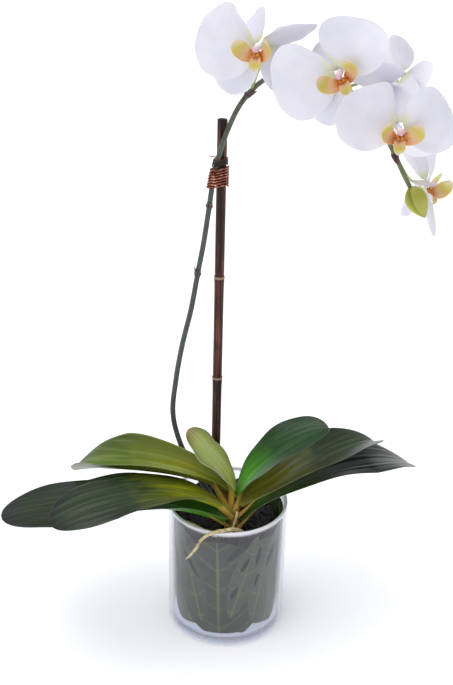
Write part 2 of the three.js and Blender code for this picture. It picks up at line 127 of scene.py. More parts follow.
# Narrower leaves slipped in front of them, and dark strips against the glass, which stand in for the gaps and
# creases between the leaves: the bark's dark colour with painted shade.
SLIPS = [
    dict(bearing=17.5, tilt=-15, length=98, width=26, foot=34, radius=56.7, tone=0.8),
    dict(bearing=37, tilt=-12, length=90, width=26, foot=28, radius=56.45, tone=1.0),
    dict(bearing=-36, tilt=14, length=94, width=28, foot=26, radius=56.45, tone=0.5),
]
SLIP_OUTLINE = dict(base=0.16, widest=0.5, root=0.9, end=1.8, round=0.8, tip=0.06)
SHREDS = [
    dict(bearing=8, tilt=-42, length=22, width=7, foot=103, radius=56.84, tone=0),
    dict(bearing=18, tilt=-30, length=18, width=5, foot=90, radius=56.84, tone=0),
    dict(bearing=32, tilt=-10, length=22, width=5, foot=95, radius=56.84, tone=0),
    dict(bearing=-38, tilt=36, length=36, width=5, foot=76, radius=56.84, tone=0),
    dict(bearing=8, tilt=-25, length=15, width=5, foot=59, radius=56.84, tone=0),
    dict(bearing=31, tilt=-15, length=16, width=3.5, foot=70, radius=56.84, tone=0),
    dict(bearing=47, tilt=-24, length=26, width=6, foot=88, radius=56.84, tone=0),
]

# The white parts of a flower, in the flower's own frame: +Z looks out of its face, +Y is its top.
PETAL = dict(
    length=52, width=64, start=3.8, back=0, lift=8, droop=-16, bend=1, roll=0, fold=(8, 8),
    base=0.1, widest=0.56, root=0.62, end=2.2, round=0.62, tip=0.03, crease=2,
)
SEPAL = dict(
    length=48, width=33, start=3.8, back=4, lift=0, droop=-12, bend=1, roll=0, fold=(8, 8),
    base=0.26, widest=0.54, root=0.8, end=2.2, round=0.62, tip=0.03, crease=2,
)
FLOWER_PARTS = {
    "petal_left": dict(PETAL, heading=157, sweep=6),
    "petal_right": dict(PETAL, heading=23, sweep=-6),
    "sepal_top": dict(SEPAL, heading=90, sweep=0),
    "sepal_left": dict(SEPAL, heading=217, sweep=8),
    "sepal_right": dict(SEPAL, heading=323, sweep=-8),
}
# at is the middle of the flower, faces the azimuth and elevation that it looks to, stem where its stalk
# leaves the spike. The rest is how its parts differ from the usual ones.
FLOWERS = {
    "flower_1": dict(
        at=(15, -17, 586), faces=(-25, -4), spin=5, stem=0.7,
        petal_left=dict(length=51, width=68, heading=178, sweep=-36, lift=-2, droop=4, roll=-8),
        petal_right=dict(length=46, width=46, heading=34, sweep=-36, lift=-22, droop=-18, roll=66),
        sepal_top=dict(length=31, heading=122, lift=-30, droop=-60, roll=-10),
        sepal_left=dict(length=54, width=36, heading=216, sweep=14, lift=-5, droop=-10, roll=-2),
        sepal_right=dict(width=38, heading=306, sweep=0, lift=-16, droop=-36, roll=-20),
    ),
    "flower_2": dict(
        at=(78, -44, 572), faces=(-12, -4), spin=38, stem=0.79,
        petal_left=dict(length=54, width=68, heading=160, sweep=-14, lift=-4, droop=-12, roll=-12),
        petal_right=dict(length=43, width=58, heading=29, sweep=6, lift=26, droop=-44, roll=-10),
        sepal_top=dict(length=35, heading=94, lift=-40, droop=-60),
        sepal_left=dict(heading=212, lift=-8, droop=-26, roll=15),
        sepal_right=dict(lift=-14, droop=-26, roll=36),
    ),
    "flower_3": dict(
        at=(126, -60, 533), faces=(4, -4), spin=-3, stem=0.885,
        petal_left=dict(length=47, width=58, heading=170, sweep=-42, lift=6, droop=-14, roll=18),
        petal_right=dict(length=42, width=54, heading=22, sweep=10, lift=34, droop=-44, roll=-6),
        sepal_top=dict(length=39, lift=-36, droop=-72),
        sepal_left=dict(length=42, lift=-24, droop=-44, roll=-40),
        sepal_right=dict(length=46, heading=330, lift=-14, droop=-30, roll=30),
    ),
    "flower_4": dict(
        at=(170, 24, 464), faces=(98, -10), spin=0, stem=0.955,
        petal_left=dict(length=46, width=40, heading=112, sweep=-6, lift=-8, droop=-50, roll=-20),
        petal_right=dict(length=44, width=50, heading=2, lift=8, droop=30, roll=-26),
        sepal_top=dict(length=42, heading=66, lift=-30, droop=-50, roll=10),
        sepal_left=dict(length=46, width=26, heading=234, lift=10, droop=24, roll=10),
        sepal_right=dict(length=44, width=26, heading=310, lift=-6, droop=0),
    ),
    "flower_5": dict(
        at=(142, 42, 556), faces=(125, -5), spin=0, stem=0.835,
        petal_left=dict(length=30, width=36, heading=184, lift=0, droop=-16, roll=-14),
        petal_right=dict(length=36, width=40, heading=20, lift=12, droop=0, roll=14),
        sepal_top=dict(length=32, heading=94, lift=-20, droop=-30),
        sepal_left=dict(length=40, heading=226, lift=-10, droop=-20),
        sepal_right=dict(length=40, heading=324, lift=-10, droop=-20),
    ),
}
COLUMN = dict(radius=2.7, length=10, stalk=1.3, behind=14)

ROOTS = {
    "root_over_rim": dict(
        line=[
            (14, -44, 131), (6, -52, 139.5), (-4, -58.5, 142.6), (-16, -61.5, 141), (-25, -62.6, 134),
            (-30, -63, 124), (-36, -62.6, 115), (-40, -62.8, 111),
        ],
        radius=(2.0, 1.2),
    ),
    "root_aerial": dict(
        line=[(9, -37.5, 150), (7, -40, 141), (4, -42, 131), (3, -42.5, 127)],
        radius=(1.3, 1.0),
    ),
    "root_left": dict(
        line=[(-10, -46, 127), (-20, -44, 130), (-33, -37, 133), (-45, -27, 131)],
        radius=(1.6, 1.1),
    ),
}


# ---- What a user would change -------------------------------------------------------------------------


def linear(hex_colour):
    """An sRGB hex colour as linear red, green, blue and alpha."""
    parts = [int(hex_colour[i : i + 2], 16) / 255 for i in (0, 2, 4)]
    return tuple(c / 12.92 if c <= 0.04045 else ((c + 0.055) / 1.055) ** 2.4 for c in parts) + (1.0,)


def length_property(name, description, default):
    return bpy.props.FloatProperty(
        name=name, description=description, default=default, min=0.0, subtype="DISTANCE", unit="LENGTH"
    )


def colour_property(name, description, default):
    return bpy.props.FloatVectorProperty(
        name=name, description=description, default=linear(default), size=4, min=0, max=1, subtype="COLOR"
    )


class OrchidSizes(bpy.types.PropertyGroup):
    """Sizes of the surface detail that is added to the frame's pieces."""

    glass_wall: length_property("Glass wall", "Thickness of the glass's side", 3.0 * MM)
    glass_floor: length_property("Glass floor", "Thickness of the glass's floor", 9.0 * MM)
    leaf_thickness: length_property("Leaf thickness", "Thickness of a leaf at its midrib", 2.0 * MM)
    pleat_depth: length_property("Pleat depth", "Depth of the long pleats of a leaf", 0.3 * MM)
    petal_thickness: length_property("Petal thickness", "Thickness of a petal at its middle", 0.9 * MM)
    chip_length: length_property("Bark chip", "Length of a piece of bark", 13.0 * MM)
    chip_count: bpy.props.IntProperty(
        name="Bark chips", description="How many pieces of bark lie on top", default=150, min=0
    )


class OrchidColours(bpy.types.PropertyGroup):
    """Main colours of the plant, its pot and what fills it."""

    petal: colour_property("Petal", "White of the petals and sepals", "E9E8F0")
    # Painted shade: this lavender is laid over the white in cloudy patches, standing in for the shade in the
    # petals' hollows.
    petal_shade: colour_property("Petal shade", "Cool tint in the hollows of the petals", "D6D5E4")
    petal_base: colour_property("Petal base", "Yellow-green where a petal starts", "DEDFBE")
    lip: colour_property("Lip", "Yellow of the lip's lobes", "D6C65C")
    lip_heart: colour_property("Lip heart", "Orange of the lip's callus", "D98A3E")
    spike: colour_property("Flower spike", "Grey-green of the spike", "434B49")
    cane: colour_property("Cane", "Dark brown of the bamboo", "4E2414")
    wire: colour_property("Binding wire", "Copper of the binding", "A8664E")
    liner: colour_property("Lining leaves", "Dark green of the lining", "2A3722")


# ---- Shapes -------------------------------------------------------------------------------------------


def mix(a, b, t):
    return a + (b - a) * t


def unit(v):
    return v / np.maximum(np.linalg.norm(v, axis=-1, keepdims=True), 1e-12)


def point_at(wanted, known, path):
    """The points of a path at the wanted values of what is known at each of its own points."""
    return np.stack([np.interp(wanted, known, path[:, k]) for k in range(3)], axis=-1)


def catmull_rom(points, count):
    """count points, evenly spaced along a centripetal Catmull-Rom curve through the points given."""
    points = np.array(points, float)
    padded = np.vstack([2 * points[0] - points[1], points, 2 * points[-1] - points[-2]])
    fine = []
    for i in range(len(points) - 1):
        p = padded[i : i + 4]
        knots = np.concatenate([[0], np.cumsum(np.sqrt(np.linalg.norm(np.diff(p, axis=0), axis=1)))])
        t = np.linspace(knots[1], knots[2], 24, endpoint=False)[:, None]

        def between(a, b, lo, hi):
            return (a * (knots[hi] - t) + b * (t - knots[lo])) / (knots[hi] - knots[lo])

        first, second, third = (between(p[k], p[k + 1], k, k + 1) for k in range(3))
        left, right = between(first, second, 0, 2), between(second, third, 1, 3)
        fine.append(between(left, right, 1, 2))
    fine = np.vstack(fine + [points[-1:]])
    reach = np.concatenate([[0], np.cumsum(np.linalg.norm(np.diff(fine, axis=0), axis=1))])
    wanted = np.linspace(0, reach[-1], count)
    return point_at(wanted, reach, fine)


def new_object(name, points, faces, attributes=None):
    """A smooth mesh object, with vector attributes on its points."""
    mesh = bpy.data.meshes.new(name)
    mesh.from_pydata([tuple(p) for p in points], [], faces)
    for key, values in (attributes or {}).items():
        layer = mesh.attributes.new(key, "FLOAT_VECTOR", "POINT")
        layer.data.foreach_set("vector", np.asarray(values, np.float32).ravel())
    mesh.shade_smooth()
    mesh.validate()
    piece = bpy.data.objects.new(name, mesh)
    bpy.context.scene.collection.objects.link(piece)
    return piece


def grid_faces(index, flip=False):
    """Quads over a grid of point numbers, rows along the first axis."""
    corners = [index[:-1, :-1], index[1:, :-1], index[1:, 1:], index[:-1, 1:]]
    if flip:
        corners.reverse()
    return np.stack(corners, axis=-1).reshape(-1, 4).tolist()


def closed_faces(rings, sides):
    """Quads round a tube's rings, and fans that close it at the two points numbered after the rings."""
    index = np.arange(rings * sides).reshape(rings, sides)
    faces = grid_faces(np.hstack([index, index[:, :1]]), flip=True)
    first, last = rings * sides, rings * sides + 1
    for k in range(sides):
        after = (k + 1) % sides
        faces.append((first, int(index[0, after]), int(index[0, k])))
        faces.append((last, int(index[-1, k]), int(index[-1, after])))
    return faces


def grid_shares(t, s):
    """The shares across and along a sheet at each point of its grid."""
    return np.stack(np.broadcast_arrays(s[None, :], t[:, None]), -1)


def grid_normals(surface):
    lengthwise = np.gradient(surface, axis=0)
    sideways = np.gradient(surface, axis=1)
    return unit(np.cross(lengthwise, sideways))


def sheet_parts(surface, half_thick, shares, sizes):
    """The points, faces and attributes of a closed sheet whose two faces meet at the grid's edge."""
    rows, columns, _ = surface.shape
    offset = grid_normals(surface) * half_thick[..., None]
    offset[[0, -1]] = 0
    offset[:, [0, -1]] = 0
    top = np.arange(rows * columns).reshape(rows, columns)
    bottom = top.copy()
    bottom[1:-1, 1:-1] = rows * columns + np.arange((rows - 2) * (columns - 2)).reshape(rows - 2, columns - 2)

    def both(values):
        return np.vstack([values.reshape(-1, 3), values[1:-1, 1:-1].reshape(-1, 3)])

    points = np.vstack([(surface + offset).reshape(-1, 3), (surface - offset)[1:-1, 1:-1].reshape(-1, 3)])
    side = np.ones((rows, columns, 1))
    share = np.concatenate([shares, side], axis=-1)
    attributes = {"share": both(share), "size": both(np.concatenate([sizes, side * 0], axis=-1))}
    attributes["share"][rows * columns :, 2] = 0
    return points, grid_faces(top) + grid_faces(bottom, flip=True), attributes


def outline(t, shape):
    """The share of its full width that a blade has at the shares t of its length."""
    base, widest, tip = shape["base"], shape["widest"], shape["tip"]
    grow = base + (1 - base) * np.sin(np.clip(t / widest, 0, 1) * math.pi / 2) ** shape["root"]
    past = np.clip((t - widest) / (1 - widest), 0, 1)
    fall = tip + (1 - tip) * (1 - past ** shape["end"]) ** shape["round"]
    return np.where(t < widest, grow, fall)


def midrib(blade, t):
    """The points of a blade's midrib at the shares t, with the directions across it and up from it."""

    def heading(at):
        turn = np.radians(blade["heading"] + blade["sweep"] * at)
        slope = np.radians(mix(blade["lift"], blade["droop"], np.clip(at, 0, 1) ** blade["bend"]))
        ahead = np.stack([np.cos(slope) * np.cos(turn), np.cos(slope) * np.sin(turn), np.sin(slope)], -1)
        return ahead, np.stack([-np.sin(turn), np.cos(turn), np.zeros_like(turn)], -1)

    fine = np.linspace(t.min(), t.max(), 401)
    steps = heading((fine[1:] + fine[:-1]) / 2)[0] * (np.diff(fine) * blade["length"])[:, None]
    path = np.vstack([np.zeros(3), np.cumsum(steps, axis=0)])
    path -= point_at(0, fine, path)
    points = point_at(t, fine, path) + np.array(blade["at"])
    ahead, side = heading(t)
    up = np.cross(ahead, side)
    roll = np.radians(mix(*blade["roll"], t))[:, None]
    return points, side * np.cos(roll) + up * np.sin(roll), up * np.cos(roll) - side * np.sin(roll)


def edge_spaced(count):
    """Shares from -1 to 1, closer together towards both ends."""
    return np.sin(np.linspace(-1, 1, count) * math.pi / 2)


def blade_surface(blade, t, s):
    """A blade's middle surface in millimetres, with the shares along and across it and its real sizes."""
    points, side, up = midrib(blade, t)
    half = blade["width"] / 2 * outline(np.clip(t, 0, 1), blade)
    fold = np.radians(mix(*blade["fold"], np.clip(t * 1.6, 0, 1)))
    # Behind its start a blade narrows and folds up, to clasp the crown.
    clasp = np.clip(-t / 0.08, 0, 1)
    fold = mix(fold, math.radians(74), clasp)
    half = half * (1 - 0.3 * clasp)
    across = side[:, None] * (half * np.cos(fold))[:, None, None] * s[None, :, None]
    raised = up[:, None] * (half * np.sin(fold))[:, None, None] * np.abs(s)[None, :, None] ** blade["crease"]
    surface = points[:, None] + across + raised
    shares = grid_shares(t, s)
    sizes = np.stack([half[:, None] * shares[..., 0], shares[..., 1] * blade["length"]], -1)
    return surface, shares, sizes * MM


def edge_thickness(t, s, thick, power=5):
    """Half the thickness of a sheet, rounded off towards its edges and its tip."""
    across = np.sqrt(np.clip(1 - np.abs(s) ** power, 0, 1))
    along = np.sqrt(np.clip(1 - np.clip(t, 0, 1) ** 24, 0, 1))
    return thick / 2 * across[None, :] * along[:, None]


def tube_parts(line, radius, sides):
    """The points, faces and attributes of a closed round tube, radius a number or one for each point."""
    line = np.asarray(line, float)
    count = len(line)
    radius = np.broadcast_to(radius, (count,)).astype(float)
    ahead = unit(np.gradient(line, axis=0))
    normal = unit(np.cross(ahead[0], [0.31, 0.95, 0.12]))
    normals = []
    for direction in ahead:
        normal = unit(normal - direction * (normal @ direction))
        normals.append(normal)
    normals = np.array(normals)
    others = np.cross(ahead, normals)
    turn = np.linspace(0, 2 * math.pi, sides, endpoint=False)
    cosine, sine = np.cos(turn)[None, :, None], np.sin(turn)[None, :, None]
    ring = (normals[:, None] * cosine + others[:, None] * sine) * radius[:, None, None]
    points = np.vstack([(line[:, None] + ring).reshape(-1, 3), line[:1], line[-1:]])
    faces = closed_faces(count, sides)
    reach = np.concatenate([[0], np.cumsum(np.linalg.norm(np.diff(line, axis=0), axis=1))])
    along = np.repeat(reach / reach[-1], sides)
    share = np.stack([np.tile(turn / (2 * math.pi), count), along, along * 0], -1)
    share = np.vstack([share, [(0, 0, 0), (0, 1, 0)]])
    return points, faces, {"share": share}


def turned_parts(profile, segments):
    """The points and faces of a solid turned about Z from [radius, height] pairs, axis to axis."""
    ring = np.array(profile[1:-1], float)
    turn = np.linspace(0, 2 * math.pi, segments, endpoint=False)
    body = np.stack(
        [ring[:, :1] * np.cos(turn), ring[:, :1] * np.sin(turn), np.repeat(ring[:, 1:], segments, axis=1)], -1
    )
    points = np.vstack([body.reshape(-1, 3), [(0, 0, profile[0][1]), (0, 0, profile[-1][1])]])
    return points, closed_faces(len(ring), segments)


def joined(parts):
    """Several sets of points, faces and attributes as one."""
    points, faces, attributes, start = [], [], {}, 0
    for part_points, part_faces, part_attributes in parts:
        points.append(part_points)
        faces += [tuple(int(k) + start for k in face) for face in part_faces]
        for key, values in part_attributes.items():
            attributes.setdefault(key, []).append(values)
        start += len(part_points)
    return np.vstack(points), faces, {key: np.vstack(values) for key, values in attributes.items()}


def waves(points, wavelength, seed):
    """A smooth random-looking field from -1 to 1 over the points, made of a few crossing waves."""
    rng = np.random.default_rng(seed)
    total = np.zeros(points.shape[:-1])
    for _ in range(6):
        direction = unit(rng.normal(size=3))
        turns = 2 * math.pi / (wavelength * rng.uniform(0.7, 1.5))
        total += np.sin(points @ direction * turns + rng.uniform(0, 6.3))
    return total / 3.2


def new_piece(name, parts, material, slot, *nodes):
    """Makes a piece from its points, faces and attributes, gives it its material and its body, and hides the
    frame's nodes that it stands for. Its slot is not used."""
    piece = new_object(name, *parts)
    piece.data.materials.append(material)
    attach(piece, "root")
    if nodes:
        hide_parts(*nodes)


def upright(node):
    """The lowest and highest corners of an upright node's box, and the middle of its plan."""
    low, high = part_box(node)
    return low, high, np.array([(low.x + high.x) / 2, (low.y + high.y) / 2])


def spike_line():
    """The flower spike's line in closely spaced points, in millimetres."""
    return catmull_rom(SPIKE_LINE, 420)


# ---- Materials ----------------------------------------------------------------------------------------


def add(tree, kind, inputs=None, **settings):
    """Adds one node. An input takes a number, an sRGB hex colour, another node, which then gives its first
    output in use, or one output of a node. The setting called stops holds a ramp's places and colours."""
    node = tree.nodes.new("ShaderNode" + kind)
    for key, value in settings.items():
        if key == "stops":
            ramp = node.color_ramp
            while len(ramp.elements) < len(value):
                ramp.elements.new(1.0)
            for element, (place, colour) in zip(ramp.elements, value.items()):
                element.position, element.color = place, four_numbers(colour)
        else:
            setattr(node, key, value)
    for key, value in (inputs or {}).items():
        if isinstance(value, bpy.types.Node):
            value = next(output for output in value.outputs if output.enabled)
        if isinstance(value, bpy.types.NodeSocket):
            tree.links.new(value, node.inputs[key])
        else:
            node.inputs[key].default_value = linear(value) if isinstance(value, str) else value
    return node


def four_numbers(colour):
    """A linear colour and its alpha, from a grey between 0 and 1, an sRGB hex colour or a user's colour."""
    if isinstance(colour, str):
        return linear(colour)
    return (colour, colour, colour, 1.0) if isinstance(colour, (int, float)) else colour


def start_material(name):
    material = bpy.data.materials.new(name)
    material.use_nodes = True
    material.node_tree.nodes.clear()
    return material, material.node_tree


def marks(tree, name):
    """One of the mesh's marks on its points, share, size or vein, and its three numbers."""
    mark = add(tree, "Attribute", attribute_name=name).outputs["Vector"]
    return mark, add(tree, "SeparateXYZ", {0: mark}).outputs


def fibrous(tree, place, scale, detail):
    """Noise drawn out into fibres, by its scales across, along and through the surface."""
    drawn_out = add(tree, "Mapping", {"Vector": place, "Scale": scale})
    return add(tree, "TexNoise", {"Vector": drawn_out, "Scale": 1.0, "Detail": detail})


def finish_material(material, surface):
    """Ends a material with the shader's settings, by their names on its sockets."""
    shader = add(material.node_tree, "BsdfPrincipled", surface)
    add(material.node_tree, "OutputMaterial", {"Surface": shader})
    return material


def pressed_glass():
    """Soda-lime glass, pressed and fire-polished: clear, a cool grey where it is thick, and diffuse white at
    its edges and rim as a painted highlight.
    """
    material, tree = start_material("soda_lime_glass_polished")
    # Painted highlight: towards grazing angles the glass lets less light through and shows diffuse white,
    # standing in for the light seen along the walls' edges.
    facing = add(tree, "LayerWeight", {"Blend": 0.5}).outputs["Facing"]
    edge_on = add(tree, "ValToRGB", {0: facing}, stops={0.6: 1, 0.82: 0.55, 1: 0.4})
    # The rim was melted smooth by a flame. Its top 3 mm are painted as a white diffuse line, a painted
    # highlight where the rim would catch the light.
    _, parts = marks(tree, "share")
    off_rim = add(tree, "Math", {0: parts["X"], 1: -0.85, 2: 1.0}, operation="MULTIPLY_ADD")
    see_through = add(tree, "Math", {0: edge_on, 1: off_rim}, operation="MULTIPLY")
    polished = {"Base Color": "FAFBFF", "Roughness": 0.0, "IOR": 1.5, "Transmission Weight": see_through}
    glass = add(tree, "BsdfPrincipled", polished)
    # Lamps shine through it, so what stands inside is lit.
    clear = add(tree, "BsdfTransparent", {"Color": "F4F6FC"})
    to_lamp = add(tree, "LightPath").outputs["Is Shadow Ray"]
    both = add(tree, "MixShader", {0: to_lamp, 1: glass, 2: clear})
    tint = add(tree, "VolumeAbsorption", {"Color": "C6C9D2", "Density": 88.0})
    add(tree, "OutputMaterial", {"Surface": both, "Volume": tint})
    return material


def living_leaf(name, base, blade, painted_sheen, tip, roughness=0.34):
    """A living orchid leaf, its wax unbroken: a satin shine in long streaks, as rougher and glossier streaks
    and as pale painted sheen in its colour, brighter green at its foot.
    """
    material, tree = start_material("leaf_waxy_" + name)
    _, parts = marks(tree, "share")
    size = add(tree, "Attribute", attribute_name="size").outputs["Vector"]
    # Streaks 4 mm wide and 90 mm long, and veins 1.1 mm apart.
    streaks = fibrous(tree, size, (1 / (4 * MM), 1 / (90 * MM), 1), 3.0)
    veins = fibrous(tree, size, (1 / (1.1 * MM), 1 / (60 * MM), 1), 2.0)
    patches = add(tree, "TexNoise", {"Vector": size, "Scale": 1 / (45 * MM), "Detail": 2.0})
    mottled = add(tree, "Math", {0: patches, 1: streaks}, operation="ADD")
    wander = add(tree, "Math", {0: mottled, 1: 0.42, 2: -0.42}, operation="MULTIPLY_ADD")
    place = add(tree, "Math", {0: parts["Y"], 1: wander}, operation="ADD")
    greens = {0: base, 0.16: base, 0.52: blade, 0.84: blade, 1: tip}
    lengthwise = add(tree, "ValToRGB", {0: place}, stops=greens)
    # Painted sheen: the palest streaks are mixed halfway to the sheen colour, a painted shine along the
    # pleats.
    pale = add(tree, "ValToRGB", {0: streaks}, stops={0.46: 0, 0.68: 1})
    paler = add(tree, "Math", {0: pale, 1: 0.5}, operation="MULTIPLY")
    colour = add(tree, "Mix", {0: paler, 6: lengthwise, 7: painted_sheen}, data_type="RGBA")
    # The green deepens towards the margin. The margin is a thin pale line in the sheen colour, partly the
    # leaf's own pale edge and partly a painted rim highlight, and the midrib a soft one.
    side = add(tree, "Math", {0: parts["X"]}, operation="ABSOLUTE")
    depth = add(tree, "ValToRGB", {0: side}, stops={0: 1.05, 0.5: 0.92, 0.92: 0.52})
    deeper = add(tree, "Mix", {0: 1.0, 6: colour, 7: depth}, data_type="RGBA", blend_type="MULTIPLY")
    rim = add(tree, "ValToRGB", {0: side}, stops={0: 0.5, 0.035: 0, 0.96: 0, 0.99: 0.5})
    lined = add(tree, "Mix", {0: rim, 6: deeper, 7: painted_sheen}, data_type="RGBA")
    shine = add(tree, "Math", {0: streaks, 1: 0.2, 2: roughness - 0.1}, operation="MULTIPLY_ADD")
    bump = add(tree, "Bump", {"Strength": 0.35, "Distance": 0.25 * MM, "Height": veins})
    return finish_material(material, {"Base Color": lined, "Roughness": shine, "IOR": 1.45, "Normal": bump})


def petal_tissue(colours):
    """Fresh petal tissue, full of air cells: soft white that lets light through, with faint fanned veins and
    painted lavender shade in cloudy patches.
    """
    material, tree = start_material("petal_tissue_fresh")
    share, parts = marks(tree, "share")
    size = add(tree, "Attribute", attribute_name="size").outputs["Vector"]
    foot, white = colours.petal_base, colours.petal
    tint = add(tree, "ValToRGB", {0: parts["Y"]}, stops={0: foot, 0.06: foot, 0.2: white, 1: white})
    # Painted shade: lavender laid over the white in cloudy patches about 26 mm across.
    clouds = add(tree, "TexNoise", {"Vector": size, "Scale": 1 / (26 * MM), "Detail": 2.0})
    shade = add(tree, "ValToRGB", {0: clouds}, stops={0.42: 0, 0.75: 0.55})
    colour = add(tree, "Mix", {0: shade, 6: tint, 7: colours.petal_shade}, data_type="RGBA")
    # About 26 veins across a petal, fanned because they follow the shares across it.
    veins = fibrous(tree, share, (13.0, 1.6, 1), 2.0)
    bump = add(tree, "Bump", {"Strength": 0.3, "Distance": 0.3 * MM, "Height": veins})
    surface = {"Base Color": colour, "Roughness": 0.5, "IOR": 1.4, "Sheen Weight": 0.08, "Normal": bump}
    surface |= {"Subsurface Weight": 0.5, "Subsurface Radius": (1.0, 0.9, 1.0), "Subsurface Scale": 2.0 * MM}
    return finish_material(material, surface)


def lip_tissue(colours):
    """The lip's waxy tissue: yellow lobes with rose edges, orange and speckled red-brown in its heart."""
    material, tree = start_material("lip_tissue_waxy")
    along = marks(tree, "share")[1]["Y"]
    place = add(tree, "TexCoord").outputs["Object"]
    heart = {0: colours.lip_heart, 0.14: colours.lip_heart, 0.36: "E3BE93"}
    lobes = {0.66: colours.lip, 0.86: "DDD3A6", 1: "EBCFC6"}
    lengthwise = add(tree, "ValToRGB", {0: along}, stops=heart | lobes)
    # Red-brown specks about 1 mm across, only towards the heart.
    dots = add(tree, "TexVoronoi", {"Vector": place, "Scale": 1 / (2.2 * MM)})
    speck = add(tree, "ValToRGB", {0: dots}, stops={0.2: 1, 0.34: 0})
    near = add(tree, "ValToRGB", {0: along}, stops={0.12: 0.9, 0.42: 0})
    amount = add(tree, "Math", {0: speck, 1: near}, operation="MULTIPLY")
    colour = add(tree, "Mix", {0: amount, 6: lengthwise, 7: "8E3A1C"}, data_type="RGBA")
    surface = {"Base Color": colour, "Roughness": 0.38, "IOR": 1.45}
    surface |= {"Subsurface Weight": 0.3, "Subsurface Radius": (1.0, 0.6, 0.3), "Subsurface Scale": 1.5 * MM}
    return finish_material(material, surface)


def column_tissue():
    """A flower's column and its stalk, fleshy and grown smooth: green-white, flushed rose at the tip."""
    material, tree = start_material("column_tissue_fleshy")
    along = marks(tree, "share")[1]["Y"]
    flush = {0: "8F9A5A", 0.5: "C9CB9E", 0.82: "EDE7EA", 0.94: "EFE3E8", 1: "E2B7C4"}
    colour = add(tree, "ValToRGB", {0: along}, stops=flush)
    surface = {"Base Color": colour, "Roughness": 0.55, "IOR": 1.4}
    surface |= {"Subsurface Weight": 0.4, "Subsurface Radius": (1.0, 0.8, 0.7), "Subsurface Scale": 1.5 * MM}
    return finish_material(material, surface)


def stalk_tissue(name, foot, head, roughness=0.42):
    """A fleshy green stalk, grown smooth: satin, its colour changing slowly from foot to head."""
    material, tree = start_material("stalk_fleshy_" + name)
    along = marks(tree, "share")[1]["Y"]
    place = add(tree, "TexCoord").outputs["Object"]
    fade = add(tree, "ValToRGB", {0: along}, stops={0: foot, 0.5: foot, 1: head})
    mottle = add(tree, "TexNoise", {"Vector": place, "Scale": 1 / (7 * MM), "Detail": 3.0})
    darker = add(tree, "ValToRGB", {0: mottle}, stops={0.35: 0.72, 0.65: 1.15})
    colour = add(tree, "Mix", {0: 1.0, 6: fade, 7: darker}, data_type="RGBA", blend_type="MULTIPLY")
    bump = add(tree, "Bump", {"Strength": 0.25, "Distance": 0.2 * MM, "Height": mottle})
    return finish_material(material, {"Base Color": colour, "Roughness": roughness, "Normal": bump})


def sheath_tissue():
    """An old leaf's sheath, thick and half dried: satin yellow-olive, finely ribbed, with brown edges."""
    material, tree = start_material("leaf_sheath_half_dried")
    share, parts = marks(tree, "share")
    ageing = {0: "8A6A2E", 0.3: "B79A42", 0.7: "BBA83C", 1: "8C9824"}
    fade = add(tree, "ValToRGB", {0: parts["Y"]}, stops=ageing)
    # About 20 ribs across a sheath.
    ribs = fibrous(tree, share, (10.0, 1.2, 1), 3.0)
    dry = add(tree, "ValToRGB", {0: ribs}, stops={0.45: 0, 0.7: 0.8})
    streaked = add(tree, "Mix", {0: dry, 6: fade, 7: "B07A3C"}, data_type="RGBA")
    side = add(tree, "Math", {0: parts["X"]}, operation="ABSOLUTE")
    edge = add(tree, "ValToRGB", {0: side}, stops={0.86: 0, 0.98: 0.7})
    colour = add(tree, "Mix", {0: edge, 6: streaked, 7: "6E4420"}, data_type="RGBA")
    bump = add(tree, "Bump", {"Strength": 0.4, "Distance": 0.3 * MM, "Height": ribs})
    return finish_material(material, {"Base Color": colour, "Roughness": 0.5, "Normal": bump})


def varnished_bamboo(colours):
    """Black bamboo, dried and varnished: brown with fine long grain, satin, with painted shade near black in
    its grooves.
    """
    material, tree = start_material("black_bamboo_varnished")
    _, parts = marks(tree, "share")
    place = add(tree, "TexCoord").outputs["Object"]
    # Fibres 0.9 mm wide and 60 mm long, drawn a little coarse so that they show.
    fibres = fibrous(tree, place, (1 / (0.9 * MM), 1 / (0.9 * MM), 1 / (60 * MM)), 3.0)
    patches = add(tree, "TexNoise", {"Vector": place, "Scale": 1 / (24 * MM), "Detail": 3.0})
    grain = add(tree, "ValToRGB", {0: fibres}, stops={0.34: "1A0C08", 0.52: colours.cane, 0.72: "8A5A42"})
    dark = add(tree, "ValToRGB", {0: patches}, stops={0.4: 1, 0.62: 0.45})
    patched = add(tree, "Mix", {0: 1.0, 6: grain, 7: dark}, data_type="RGBA", blend_type="MULTIPLY")
    # Painted shade: each internode's groove is painted near black, standing in for the dark middle that the
    # lighting gives the cane.
    groove_painted_dark = add(tree, "Mix", {0: parts["X"], 6: patched, 7: "120B09"}, data_type="RGBA")
    pale = add(tree, "ValToRGB", {0: parts["Y"]}, stops={0.3: 0, 0.8: 0.75})
    ringed = add(tree, "Mix", {0: pale, 6: groove_painted_dark, 7: "B59A84"}, data_type="RGBA")
    bump = add(tree, "Bump", {"Strength": 0.4, "Distance": 0.2 * MM, "Height": fibres})
    # Worn varnish shines half as much as fresh.
    surface = {"Base Color": ringed, "Roughness": 0.36, "Specular IOR Level": 0.25, "Normal": bump}
    return finish_material(material, surface)


def drawn_copper(colours):
    """Copper-coloured wire, drawn and lacquered: warm metal with tarnished patches and soft highlights."""
    material, tree = start_material("copper_wire_drawn")
    place = add(tree, "TexCoord").outputs["Object"]
    tarnish = add(tree, "TexNoise", {"Vector": place, "Scale": 1 / (3 * MM), "Detail": 3.0})
    colour = add(tree, "ValToRGB", {0: tarnish}, stops={0.36: "5A2A20", 0.55: colours.wire, 0.78: "D9A184"})
    return finish_material(material, {"Base Color": colour, "Metallic": 0.85, "Roughness": 0.36})


